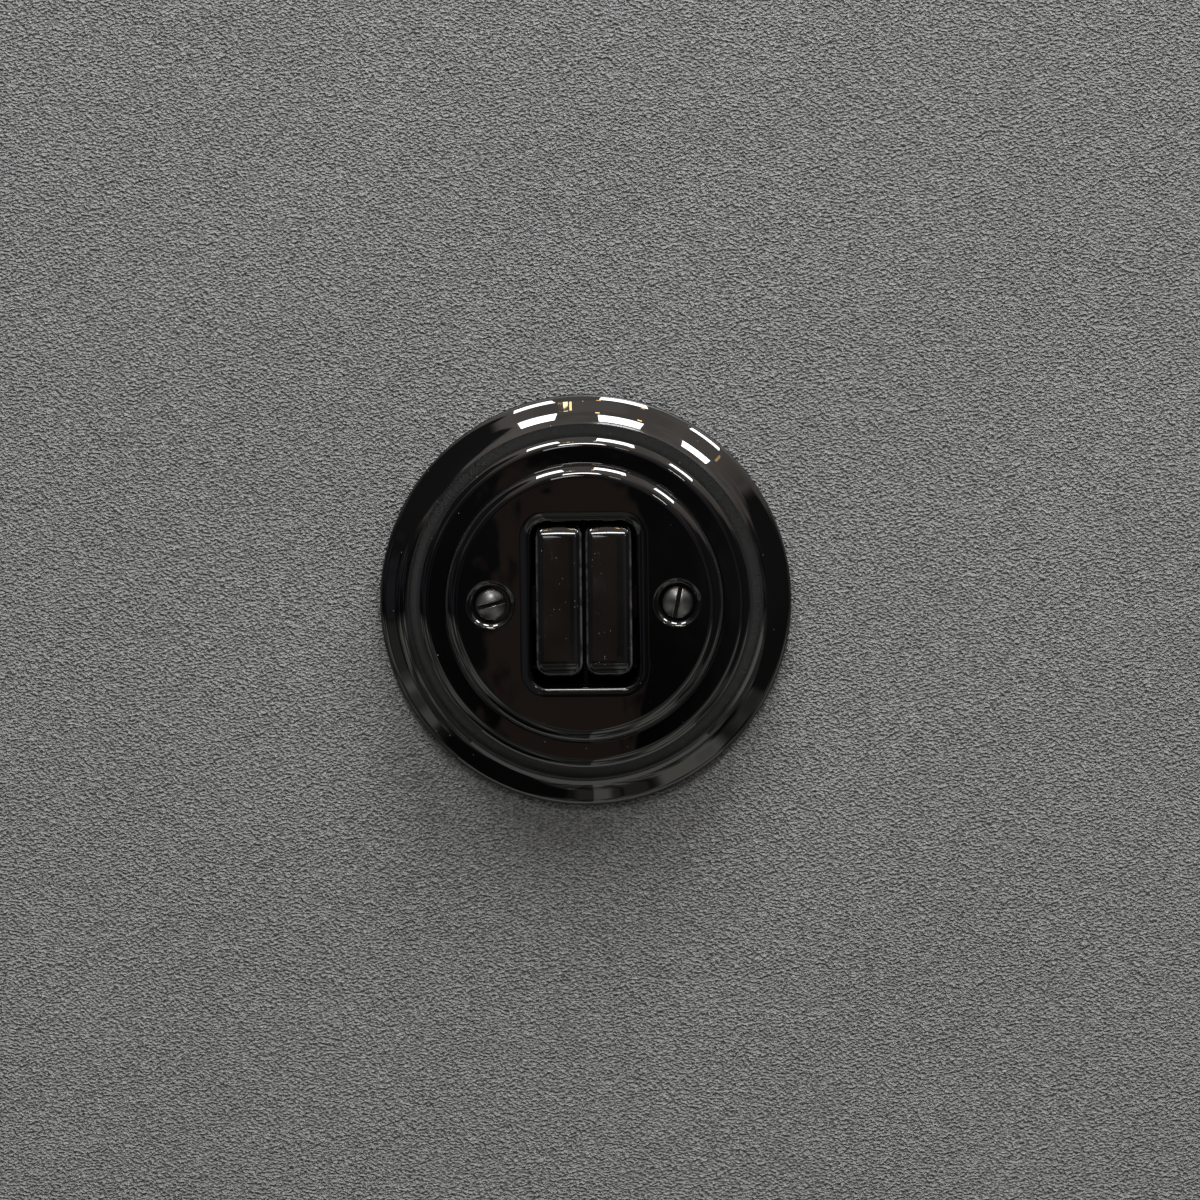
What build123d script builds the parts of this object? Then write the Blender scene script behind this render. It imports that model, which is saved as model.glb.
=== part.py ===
from build123d import *
from math import cos, radians, sin
import os

# Flush roller shutter switch with a glazed porcelain frame and cover and two push rockers.
# Millimetres. +X is right, +Z is up the wall, -Y looks out into the room, the wall is Y = 0.
# "Height" is always the distance in front of the wall, so it is negative inside the wall box.

# Porcelain frame
frame_diameter = 100.0
frame_height = 13.5
frame_wall = 4.0
frame_foot = 3.5
frame_bore = 61.0
rim_edge = 2.2
rim_edge_run = 0.8
rim_edge_rise = 0.9
rim_edge_round = 0.8
rim_round = 4.6
rim_run = 5.7
valley_height = 5.6
cove_round = 10.0
step_run = 5.1
shoulder_round = 2.7

# Rocker keys
key_width = 11.4
key_length = 36.8
key_gap = 0.6
key_face = 11.7
key_skirt = 5.0
key_roof = 2.0
key_wall = 1.3
key_end_wall = 1.8
key_end_round = 4.0
key_side_round = 1.7
key_corner = 3.2
rocker_tilt = 6.5
pivot_depth = 10.4

# Porcelain cover
cover_diameter = 68.0
cover_rise = 3.9
cover_round = 3.6
cover_wall = 4.2
spigot_clearance = 0.4
spigot_wall = 3.5
spigot_depth = 2.7
opening_side_gap = 1.45
opening_end_gap = 1.4
opening_corner = 3.6
opening_lip_width = 2.9
opening_lip_depth = 1.6
lip_relief = 0.5

# Cover screws and their recesses
screw_pitch = 45.0
screw_thread = 3.5
screw_length = 16.0
screw_head = 7.5
screw_head_height = 2.0
screw_dome = 1.1
screw_slot = 1.0
screw_slot_depth = 0.9
screw_hole_clearance = 0.25
recess_clearance = 0.75
recess_depth = 3.2
recess_lip_width = 1.5
recess_lip_depth = 1.4
boss_wall = 1.8
left_slot_angle = 14.0
right_slot_angle = 78.0

# Steel mounting plate
plate_size = 71.0
plate_thickness = 1.0
plate_corner_inset = 8.0
box_screw_pitch = 60.0
box_slot_width = 4.2
box_slot_length = 6.0
collar_wall = 1.2
collar_height = 2.2
thread_clearance = 0.05
window_margin = 0.4
window_corner = 2.0

# Rocker housing
housing_wall = 1.5
housing_corner = 5.0
housing_flange = 1.6
housing_rise = 2.8
mid_wall = 1.2
mid_wall_rise = 2.2
cheek_length = 8.0
cheek_wall = 2.45
end_play = 0.3
stop_rib = 1.0
stop_clearance = 0.1

# Axle and cradles
axle_diameter = 2.0
axle_clearance = 0.04
hub_diameter = 5.6
cradle_clearance = 0.1
deck_bottom = 3.0
deck_top = 6.5
post_length = 3.0
post_reach = 9.5
tube_diameter = 5.6
tube_start = 2.2
tube_end = 9.2
stub_diameter = 2.0
stub_length = 1.4

# Plungers and springs
plunger_diameter = 3.2
plunger_clearance = 0.08
plunger_reach = 12.0
plunger_top = 5.6
plunger_wire = 0.35
plunger_turns = 3
return_wire = 0.45
return_coil = 3.7
return_turns = 4
return_offset = 12.4
return_seat = 0.6
spring_gap = 0.1
spring_clearance = 0.4

# Contact levers, contacts and strips
lever_gap = 0.1
lever_length = 17.0
lever_width = 5.0
lever_thickness = 1.0
lever_corner = 1.5
trunnion_diameter = 1.6
trunnion_clearance = 0.05
trunnion_end = 0.2
tip_diameter = 2.4
tip_height = 0.6
tip_reach = 7.3
contact_gap = 0.06
fixed_tip_diameter = 2.6
fixed_tip_height = 0.7
strip_thickness = 0.8
strip_width = 5.4
strip_pad = 4.0
strip_arm = 2.2
strip_edge = 0.6
ear_gap = 0.4
ear_length = 4.2
link_clearance = 1.5
link_width = 2.6
rest_stop_width = 3.0
rest_stop_length = 2.0

# Terminals
leg_width = 4.6
leg_offset = 3.3
leg_length = 11.0
clamp_width = 6.6
clamp_side = 0.8
clamp_thread_wall = 1.5
clamp_space = 3.8
clamp_height = 8.0
clamp_clearance = 0.2
terminal_level = 17.0
terminal_thread = 3.0
terminal_length = 3.4
terminal_head = 5.0
terminal_gap = 2.4

# Base, rear cover and the small screws
base_margin = 4.5
base_corner = 4.0
base_depth = 24.0
base_floor = 2.0
pillar_diameter = 5.4
pin_height = 1.4
rear_thickness = 2.2
rear_thread = 3.0
rear_length = 9.0
rear_head = 5.6
wire_window_width = 3.4
wire_window_length = 2.8
wire_funnel = 0.6
assembly_inset = 2.15
assembly_thread = 2.4
assembly_length = 9.0
assembly_head = 4.2
flat_head_height = 1.5
flat_slot = 0.7
flat_slot_depth = 0.7
fit_clearance = 0.1

# Sizes that follow from the values above
frame_radius = frame_diameter / 2
valley_radius = frame_radius - rim_run
platform_radius = valley_radius - step_run
rocker_x = (key_width + key_gap) / 2
opening_width = 2 * key_width + key_gap + 2 * opening_side_gap
opening_length = key_length + 2 * opening_end_gap
cover_radius = cover_diameter / 2
cover_front = frame_height + cover_rise
cover_back = cover_front - cover_wall
pivot_height = cover_front - pivot_depth
housing_height = pivot_height + housing_rise
mid_wall_height = pivot_height + mid_wall_rise
housing_floor = plate_thickness + housing_flange
spigot_radius = frame_bore / 2 - spigot_clearance
spigot_end = frame_height - spigot_depth
recess_floor = cover_front - recess_depth
recess_radius = screw_head / 2 + recess_clearance
screw_x = screw_pitch / 2
hub_width = 2 * rocker_x - mid_wall - 2 * end_play
cheek_inner = rocker_x + hub_width / 2 + end_play
cheek_outer = opening_width / 2 + cheek_wall
tilt_sine = sin(radians(rocker_tilt))
tilt_cosine = cos(radians(rocker_tilt))
tube_swing = (pivot_height - plate_thickness) * tilt_sine / tilt_cosine
tube_window = tube_diameter / 2 + tube_swing + end_play
cavity_width = key_width - 2 * key_wall
cavity_length = key_length - 2 * key_end_wall
cradle_width = cavity_width - 2 * cradle_clearance
cradle_length = cavity_length - 2 * cradle_clearance
rib_outer = cradle_length / 2 * tilt_cosine
deck_height = pivot_height + deck_bottom * tilt_cosine
rib_height = deck_height - rib_outer * tilt_sine - stop_clearance
return_radius = (return_coil + return_wire) / 2
return_top = deck_height + (return_offset - return_radius) * tilt_sine - spring_gap
lever_height = pivot_height - plunger_reach - lever_gap - lever_thickness / 2
tip_drop = lever_thickness / 2 + tip_height
contact_z = tip_reach * tilt_cosine - tip_drop * tilt_sine
contact_drop = tip_drop * tilt_cosine + (tip_reach + tip_diameter / 2) * tilt_sine
contact_height = lever_height - contact_drop - contact_gap
strip_top = contact_height - fixed_tip_height
floor_height = strip_top - strip_thickness
ear_inner = lever_width / 2 + ear_gap
ear_outer = ear_inner + strip_thickness
link_near = ear_length / 2 + link_clearance
link_far = link_near + link_width
base_width = opening_width + 2 * base_margin
base_length = opening_length + 2 * base_margin
leg_z = opening_length / 2 - leg_offset
leg_back = leg_z + strip_thickness
clamp_inner = leg_z - clamp_clearance / 2 - clamp_side
clamp_outer = clamp_inner + clamp_side + clamp_space + clamp_thread_wall
wire_z = leg_back + (clamp_space - strip_thickness) / 2
pocket_top = floor_height - base_floor
rear_face = base_depth + rear_thickness
assembly_x = base_width / 2 - assembly_inset
assembly_z = base_length / 2 - assembly_inset

# SECTION has the radius across and the height up, for everything turned about the middle axis
SECTION = Plane(origin=(0, 0, 0), x_dir=(1, 0, 0), z_dir=(0, 0, -1))
COVER_HOLES = [(-screw_x, 0), (screw_x, 0)]
CORNERS = [(x, z) for x in (-assembly_x, assembly_x) for z in (-assembly_z, assembly_z)]
PILLARS = [(-rocker_x, -return_offset), (rocker_x, -return_offset)]
TERMINALS = [(x, end) for x in (-rocker_x, rocker_x) for end in (-1, 1)]


def front(height, x=0, z=0):
    """Plane parallel to the wall at one height, with X across, Z up and its normal into the room."""
    return Plane(origin=(x, -height, z), x_dir=(1, 0, 0), z_dir=(0, -1, 0))


def side(x):
    """Plane square to X, with Z across and the depth into the wall up."""
    return Plane(origin=(x, 0, 0), x_dir=(0, 0, 1), z_dir=(-1, 0, 0))


def tilted(x, height, angle):
    """Plane like front() but turned about X, so that its upper end leans towards the wall."""
    lean = radians(angle)
    return Plane(origin=(x, -height, 0), x_dir=(1, 0, 0), z_dir=(0, -cos(lean), sin(lean)))


def along(plane):
    """Side plane of a tilted plane: its length across, its height up, its normal along +X."""
    return Plane(origin=plane.origin, x_dir=plane.y_dir, z_dir=plane.x_dir)


def across(plane):
    """End plane of a tilted plane: its width across, its height up."""
    return Plane(origin=plane.origin, x_dir=plane.x_dir, z_dir=-plane.y_dir)


def inset(before, corner, after, wall):
    """Corner of a profile moved inwards until both of its sides lie one wall deeper."""
    first = (Vector(*corner) - Vector(*before)).normalized().rotate(Axis.Z, 90)
    second = (Vector(*after) - Vector(*corner)).normalized().rotate(Axis.Z, 90)
    return Vector(*corner) + (first + second) * (wall / (1 + first.dot(second)))


def lip_outline(start, width, depth):
    """Outline of the corner that is cut from a wall so that a quarter ellipse is left of it."""
    with BuildLine() as corner:
        Polyline((start, -depth), (start, lip_relief), (start + width, lip_relief), (start + width, 0))
        EllipticalCenterArc((start + width, -depth), width, depth, 90, arc_size=90)
    return corner.edges()


def save(part, name):
    """Label one finished piece and write it."""
    part.label = name
    export_step(part, f"parts/{name}.step")


def span(x0, x1, z0, z1, mode=Mode.ADD):
    """Rectangle between two pairs of edges, in a sketch on a plane parallel to the wall."""
    with Locations(((x0 + x1) / 2, (z0 + z1) / 2)):
        Rectangle(abs(x1 - x0), abs(z1 - z0), mode=mode)


def domed_screw(seat, slot_angle):
    """Cover screw with a domed slotted head on a seat plane and its shank running back from it."""
    with BuildPart() as screw:
        with BuildSketch(across(seat)):
            with BuildLine():
                Polyline(
                    (0, screw_head_height),
                    (0, -screw_length),
                    (screw_thread / 2, -screw_length),
                    (screw_thread / 2, 0),
                    (screw_head / 2, 0),
                    (screw_head / 2, screw_head_height - screw_dome),
                )
                crown = (screw_head / 2, screw_head_height - screw_dome)
                TangentArc((0, screw_head_height), crown, tangent=(1, 0))
            make_face()
        revolve(axis=Axis(seat.origin, seat.z_dir))
        with BuildSketch(seat.offset(screw_head_height)):
            Rectangle(screw_head + screw_slot, screw_slot, rotation=slot_angle)
        extrude(amount=-screw_slot_depth, mode=Mode.SUBTRACT)
    return screw.part


def flat_screw(seat, thread, length, head):
    """Screw of the hidden mechanism with a flat slotted head on a seat plane."""
    with BuildPart() as screw:
        with BuildSketch(seat):
            Circle(head / 2)
        extrude(amount=flat_head_height)
        with BuildSketch(seat):
            Circle(thread / 2)
        extrude(amount=-length)
        with BuildSketch(seat.offset(flat_head_height)):
            Rectangle(head + flat_slot, flat_slot)
        extrude(amount=-flat_slot_depth, mode=Mode.SUBTRACT)
    return screw.part


def coil_spring(base, length, coil_diameter, wire, turns):
    """Square-wire spring wound about the normal of a base plane, its wire resting on that plane."""
    rise = length - wire
    start = base.from_local_coords(Vector(0, 0, wire / 2))
    with BuildPart() as spring:
        with BuildLine():
            turn_line = Helix(rise / turns, rise, coil_diameter / 2, center=start, direction=base.z_dir)
        with BuildSketch(Plane(origin=turn_line @ 0, z_dir=turn_line % 0)):
            Rectangle(wire, wire)
        sweep(is_frenet=True)
    return spring.part


def rocker_key(x):
    """Hollow key cap with a flat face, rounded at both ends and along both sides."""
    plane = tilted(x, pivot_height, rocker_tilt)
    with BuildPart() as key:
        with BuildSketch(along(plane)) as profile:
            with Locations((0, (key_face + key_skirt) / 2)):
                Rectangle(key_length, key_face - key_skirt)
            fillet(profile.vertices().group_by(Axis.Y)[-1], key_end_round)
        extrude(amount=key_width / 2, both=True)
        with BuildSketch(across(plane)) as section:
            with Locations((0, (key_face + key_skirt) / 2)):
                Rectangle(key_width, key_face - key_skirt)
            fillet(section.vertices().group_by(Axis.Y)[-1], key_side_round)
        extrude(amount=key_length / 2, both=True, mode=Mode.INTERSECT)
        with BuildSketch(plane.offset(key_skirt)):
            RectangleRounded(key_width, key_length, key_corner)
        extrude(amount=key_face - key_skirt, mode=Mode.INTERSECT)
        with BuildSketch(plane.offset(key_skirt)):
            Rectangle(cavity_width, cavity_length)
        extrude(amount=key_face - key_roof - key_skirt, mode=Mode.SUBTRACT)
    return key.part


def rocker_cradle(x):
    """Rocking carrier: hub on the axle, deck and posts under the key, tube for the plunger."""
    plane = tilted(x, pivot_height, rocker_tilt)
    with BuildPart() as cradle:
        with BuildSketch(along(plane)):
            Circle(hub_diameter / 2)
        extrude(amount=hub_width / 2, both=True)
        with BuildSketch(plane):
            Rectangle(cradle_width, hub_diameter)
        extrude(amount=deck_bottom)
        with BuildSketch(plane.offset(deck_bottom)):
            Rectangle(cradle_width, cradle_length)
        extrude(amount=deck_top - deck_bottom)
        with BuildSketch(plane.offset(deck_top)):
            with Locations((0, -post_reach), (0, post_reach)):
                Rectangle(cradle_width, post_length)
        extrude(amount=key_face - key_roof - deck_top)
        with BuildSketch(plane.offset(deck_bottom)):
            with Locations((0, -return_offset)):
                Circle(stub_diameter / 2)
        extrude(amount=-stub_length)
        with BuildSketch(plane):
            Circle(tube_diameter / 2)
        extrude(amount=-tube_end)
        with BuildSketch(plane.offset(-tube_end)):
            Circle(plunger_diameter / 2 + plunger_clearance)
        extrude(amount=tube_end - tube_start, mode=Mode.SUBTRACT)
        with BuildSketch(along(plane)):
            Circle(axle_diameter / 2 + axle_clearance)
        extrude(amount=hub_width, both=True, mode=Mode.SUBTRACT)
    return cradle.part


def rocker_plunger(x):
    """Round-nosed plunger that slides in the tube of a cradle."""
    plane = tilted(x, pivot_height, rocker_tilt)
    radius = plunger_diameter / 2
    with BuildPart() as plunger:
        with BuildSketch(across(plane)):
            with BuildLine():
                Polyline(
                    (0, -plunger_reach),
                    (0, -plunger_top),
                    (radius, -plunger_top),
                    (radius, radius - plunger_reach),
                )
                TangentArc((radius, radius - plunger_reach), (0, -plunger_reach), tangent=(0, -1))
            make_face()
        revolve(axis=Axis(plane.origin, plane.z_dir))
    return plunger.part


def contact_lever(x):
    """See-saw contact bar with a trunnion at each side."""
    plane = tilted(x, lever_height, -rocker_tilt)
    with BuildPart() as lever:
        with BuildSketch(plane.offset(-lever_thickness / 2)):
            RectangleRounded(lever_width, lever_length, lever_corner)
        extrude(amount=lever_thickness)
        for edge in (-1, 1):
            with BuildSketch(along(plane).offset(edge * lever_width / 2)):
                Circle(trunnion_diameter / 2)
            extrude(amount=edge * (ear_outer + trunnion_end - lever_width / 2))
    return lever.part


def lever_tips(x):
    """Two contact rivets on the back of a contact lever, one at each end."""
    plane = tilted(x, lever_height, -rocker_tilt)
    with BuildPart() as tips:
        with BuildSketch(plane.offset(-lever_thickness / 2)):
            with Locations((0, -tip_reach), (0, tip_reach)):
                Circle(tip_diameter / 2)
        extrude(amount=-tip_height)
    return tips.part


def lever_ears(x):
    """Two upright ears, open towards the front, that carry the trunnions of one contact lever."""
    ear_height = lever_height + trunnion_diameter - strip_top
    with BuildPart() as ears:
        for ear_x in (x + ear_outer, x - ear_inner):
            with BuildSketch(side(ear_x)):
                with Locations((0, -strip_top - ear_height / 2)):
                    Rectangle(ear_length, ear_height)
                with Locations((0, -lever_height)):
                    Circle(trunnion_diameter / 2 + trunnion_clearance, mode=Mode.SUBTRACT)
                with Locations((0, -lever_height - trunnion_diameter)):
                    Rectangle(
                        trunnion_diameter + 2 * trunnion_clearance,
                        2 * trunnion_diameter,
                        mode=Mode.SUBTRACT,
                    )
            extrude(amount=strip_thickness)
    return ears.part


def terminal_leg(x, end):
    """Leg of a contact strip, bent back through the floor of the base into a terminal."""
    with BuildPart() as leg:
        with BuildSketch(front(strip_top)):
            span(x - leg_width / 2, x + leg_width / 2, end * leg_z, end * leg_back)
        extrude(amount=-leg_length)
    return leg.part


def outlet_strip(x):
    """Contact strip from the upper contact of one lever to its terminal."""
    with BuildPart() as strip:
        with BuildSketch(front(strip_top)):
            span(x - strip_width / 2, x + strip_width / 2, contact_z - strip_pad / 2, leg_back)
        extrude(amount=-strip_thickness)
        add(terminal_leg(x, 1))
    return strip.part


os.makedirs("parts", exist_ok=True)

# Glazed porcelain frame: straight edge, rolled rim, cove, steep riser, shoulder and flat ring
outline = [
    (frame_radius, 0),
    (frame_radius, rim_edge),
    (frame_radius - rim_edge_run, rim_edge + rim_edge_rise),
    (valley_radius, valley_height),
    (platform_radius, frame_height),
    (frame_bore / 2, frame_height),
]
with BuildPart() as outer_frame:
    with BuildSketch(SECTION):
        with BuildLine():
            FilletPolyline(*outline, radius=[rim_edge_round, rim_round, cove_round, shoulder_round])
            Polyline(
                outline[5],
                (frame_bore / 2, frame_height - frame_wall),
                inset(*outline[3:6], frame_wall),
                inset(*outline[2:5], frame_wall),
                (frame_radius - frame_foot, 0),
                outline[0],
            )
        make_face()
    revolve(axis=Axis.Y)
save(outer_frame.part, "outer_frame")

# Glazed porcelain cover: disc with a rounded edge, a spigot in the frame, bosses for its screws
with BuildPart() as cover_plate:
    with BuildSketch(SECTION):
        with BuildLine():
            FilletPolyline(
                (0, cover_front),
                (cover_radius, cover_front),
                (cover_radius, frame_height),
                radius=cover_round,
            )
            Polyline(
                (cover_radius, frame_height),
                (spigot_radius, frame_height),
                (spigot_radius, spigot_end),
                (spigot_radius - spigot_wall, spigot_end),
                (spigot_radius - spigot_wall, cover_back),
                (0, cover_back),
                (0, cover_front),
            )
        make_face()
    revolve(axis=Axis.Y)
    with BuildSketch(front(cover_back)):
        with Locations(*COVER_HOLES):
            Circle(recess_radius + boss_wall)
    extrude(amount=spigot_end - cover_back)
    with BuildSketch(front(cover_front)):
        RectangleRounded(opening_width, opening_length, opening_corner)
    extrude(amount=spigot_end - cover_front, mode=Mode.SUBTRACT)
    with BuildSketch(front(cover_front)):
        with Locations(*COVER_HOLES):
            Circle(recess_radius)
    extrude(amount=-recess_depth, mode=Mode.SUBTRACT)
    with BuildSketch(front(recess_floor)):
        with Locations(*COVER_HOLES):
            Circle(screw_thread / 2 + screw_hole_clearance)
    extrude(amount=spigot_end - recess_floor, mode=Mode.SUBTRACT)
    for x, _ in COVER_HOLES:
        with BuildSketch(Plane(origin=(x, -cover_front, 0), x_dir=(1, 0, 0), z_dir=(0, 0, -1))):
            make_face(lip_outline(recess_radius, recess_lip_width, recess_lip_depth))
        revolve(axis=Axis((x, 0, 0), (0, 1, 0)), mode=Mode.SUBTRACT)
    with BuildLine(front(cover_front)) as rim:
        FilletPolyline(
            (-opening_width / 2, -opening_length / 2),
            (opening_width / 2, -opening_length / 2),
            (opening_width / 2, opening_length / 2),
            (-opening_width / 2, opening_length / 2),
            radius=opening_corner,
            close=True,
        )
    rim_path = rim.wire()
    outwards = (rim_path % 0).cross(Vector(0, -1, 0))
    with BuildSketch(Plane(origin=rim_path @ 0, x_dir=outwards, z_dir=-(rim_path % 0))):
        make_face(lip_outline(0, opening_lip_width, opening_lip_depth))
    sweep(path=rim_path, mode=Mode.SUBTRACT)
save(cover_plate.part, "cover_plate")

# Cover screws, each with its slot at the angle it was tightened to
with BuildPart() as cover_screws:
    add(domed_screw(front(recess_floor, -screw_x), left_slot_angle))
    add(domed_screw(front(recess_floor, screw_x), right_slot_angle))
save(cover_screws.part, "cover_screws")

# Steel mounting plate: box screw slots, threaded collars for the cover, window for the rockers
with BuildPart() as mounting_plate:
    with BuildSketch(front(0)):
        Rectangle(plate_size, plate_size)
        Circle(frame_radius - plate_corner_inset, mode=Mode.INTERSECT)
        RectangleRounded(
            opening_width + 2 * window_margin,
            opening_length + 2 * window_margin,
            window_corner,
            mode=Mode.SUBTRACT,
        )
        with PolarLocations(box_screw_pitch / 2, 4):
            SlotOverall(box_slot_length, box_slot_width, mode=Mode.SUBTRACT)
        with Locations(*CORNERS):
            Circle(assembly_thread / 2 + fit_clearance, mode=Mode.SUBTRACT)
    extrude(amount=plate_thickness)
    with BuildSketch(front(plate_thickness)):
        with Locations(*COVER_HOLES):
            Circle(screw_thread / 2 + thread_clearance + collar_wall)
    extrude(amount=collar_height)
    with BuildSketch(front(0)):
        with Locations(*COVER_HOLES):
            Circle(screw_thread / 2 + thread_clearance)
    extrude(amount=plate_thickness + collar_height, mode=Mode.SUBTRACT)
save(mounting_plate.part, "mounting_plate")

# Rocker housing: tray on the plate, with bearings, stops and windows for tubes and springs
with BuildPart() as rocker_housing:
    with BuildSketch(front(plate_thickness)):
        RectangleRounded(base_width, base_length, base_corner)
    extrude(amount=housing_flange)
    with BuildSketch(front(plate_thickness)):
        RectangleRounded(
            opening_width + 2 * housing_wall,
            opening_length + 2 * housing_wall,
            housing_corner,
        )
        span(-cheek_outer, cheek_outer, -cheek_length / 2, cheek_length / 2)
    extrude(amount=housing_height - plate_thickness)
    with BuildSketch(front(housing_floor)):
        RectangleRounded(opening_width, opening_length, housing_corner - housing_wall)
        for edge in (-1, 1):
            span(
                edge * cheek_inner,
                edge * cheek_outer,
                -cheek_length / 2,
                cheek_length / 2,
                mode=Mode.SUBTRACT,
            )
    extrude(amount=housing_height - housing_floor, mode=Mode.SUBTRACT)
    with BuildSketch(front(plate_thickness)):
        Rectangle(mid_wall, opening_length)
    extrude(amount=mid_wall_height - plate_thickness)
    with BuildSketch(front(plate_thickness)):
        for end in (-1, 1):
            span(-opening_width / 2, opening_width / 2, end * (rib_outer - stop_rib), end * rib_outer)
    extrude(amount=rib_height - plate_thickness)
    with BuildSketch(front(plate_thickness)):
        with Locations(*PILLARS):
            Circle(return_radius + spring_clearance)
    extrude(amount=rib_height - plate_thickness, mode=Mode.SUBTRACT)
    with BuildSketch(front(plate_thickness)):
        for x in (-rocker_x, rocker_x):
            tube_x = tube_diameter / 2 + end_play
            span(x - tube_x, x + tube_x, -tube_window, tube_window)
    extrude(amount=housing_flange, mode=Mode.SUBTRACT)
    with BuildSketch(side(cheek_outer)):
        with Locations((0, -pivot_height)):
            Circle(axle_diameter / 2 + axle_clearance)
    extrude(amount=2 * cheek_outer, mode=Mode.SUBTRACT)
    with BuildSketch(front(plate_thickness)):
        with Locations(*CORNERS):
            Circle(assembly_thread / 2 + fit_clearance)
    extrude(amount=housing_flange, mode=Mode.SUBTRACT)
save(rocker_housing.part, "rocker_housing")

# Axle through both bearings and both cradles
with BuildPart() as pivot_axle:
    with BuildSketch(side(cheek_outer)):
        with Locations((0, -pivot_height)):
            Circle(axle_diameter / 2)
    extrude(amount=2 * cheek_outer)
save(pivot_axle.part, "pivot_axle")

# The two rockers with their carriers, plungers, springs and contact levers
for name, x in (("left", -rocker_x), ("right", rocker_x)):
    plunger_seat = tilted(x, pivot_height, rocker_tilt).offset(-plunger_top)
    plunger_coil = plunger_diameter - plunger_wire - plunger_clearance
    save(rocker_key(x), f"{name}_rocker_key")
    save(rocker_cradle(x), f"{name}_cradle")
    save(rocker_plunger(x), f"{name}_plunger")
    save(
        coil_spring(plunger_seat, plunger_top - tube_start, plunger_coil, plunger_wire, plunger_turns),
        f"{name}_plunger_spring",
    )
    save(
        coil_spring(
            front(return_seat, x, -return_offset),
            return_top - return_seat,
            return_coil,
            return_wire,
            return_turns,
        ),
        f"{name}_return_spring",
    )
    save(contact_lever(x), f"{name}_contact_lever")
    save(lever_tips(x), f"{name}_lever_tips")

# Feed strip: left lever support, an arm round its lower contact and both lower terminals
with BuildPart() as feed_strip:
    arm_x = strip_edge - opening_width / 2
    with BuildSketch(front(strip_top)):
        span(arm_x, ear_outer - rocker_x, -ear_length / 2, ear_length / 2)
        span(arm_x, arm_x + strip_arm, -leg_z - strip_arm, ear_length / 2)
        span(arm_x, rocker_x + strip_width / 2, -leg_z - strip_arm, -leg_z)
    extrude(amount=-strip_thickness)
    add(lever_ears(-rocker_x))
    add(terminal_leg(-rocker_x, -1))
    add(terminal_leg(rocker_x, -1))
save(feed_strip.part, "feed_strip")

# Link strip: lower contact of the left lever to the support of the right lever
with BuildPart() as link_strip:
    pad_x = rocker_x + strip_width / 2
    with BuildSketch(front(strip_top)):
        span(-pad_x, strip_width - pad_x, -contact_z - strip_pad / 2, -link_near)
        span(-pad_x, rocker_x + ear_outer, -link_far, -link_near)
        span(rocker_x - ear_outer, rocker_x + ear_outer, -link_far, ear_length / 2)
    extrude(amount=-strip_thickness)
    add(lever_ears(rocker_x))
save(link_strip.part, "link_strip")

# Outlet strips for the two directions of the shutter motor
save(outlet_strip(-rocker_x), "up_strip")
save(outlet_strip(rocker_x), "down_strip")

# Fixed contact rivets on the strips
with BuildPart() as fixed_tips:
    with BuildSketch(front(contact_height)):
        with Locations((-rocker_x, -contact_z), (-rocker_x, contact_z), (rocker_x, contact_z)):
            Circle(fixed_tip_diameter / 2)
    extrude(amount=-fixed_tip_height)
save(fixed_tips.part, "fixed_tips")

# Terminal clamps: rectangular cages round the legs, with a threaded outer wall
with BuildPart() as terminal_clamps:
    with BuildSketch(front(clamp_height / 2 - terminal_level)):
        for x, end in TERMINALS:
            hole_x = clamp_width / 2 - clamp_side
            hole_z = clamp_inner + clamp_side
            span(x - clamp_width / 2, x + clamp_width / 2, end * clamp_inner, end * clamp_outer)
            span(x - hole_x, x + hole_x, end * hole_z, end * (hole_z + clamp_space), mode=Mode.SUBTRACT)
    extrude(amount=-clamp_height)
    for end in (-1, 1):
        with BuildSketch(Plane.XY.offset(end * leg_back)):
            with Locations((-rocker_x, terminal_level), (rocker_x, terminal_level)):
                Circle(terminal_thread / 2 + thread_clearance)
        extrude(amount=end * (clamp_outer - leg_back), mode=Mode.SUBTRACT)
save(terminal_clamps.part, "terminal_clamps")

# Terminal screws, backed out so that a wire can enter
with BuildPart() as terminal_screws:
    for x, end in TERMINALS:
        seat_z = end * (leg_back + terminal_gap + terminal_length)
        seat = Plane(origin=(x, terminal_level, seat_z), x_dir=(1, 0, 0), z_dir=(0, 0, end))
        add(flat_screw(seat, terminal_thread, terminal_length, terminal_head))
save(terminal_screws.part, "terminal_screws")

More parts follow.
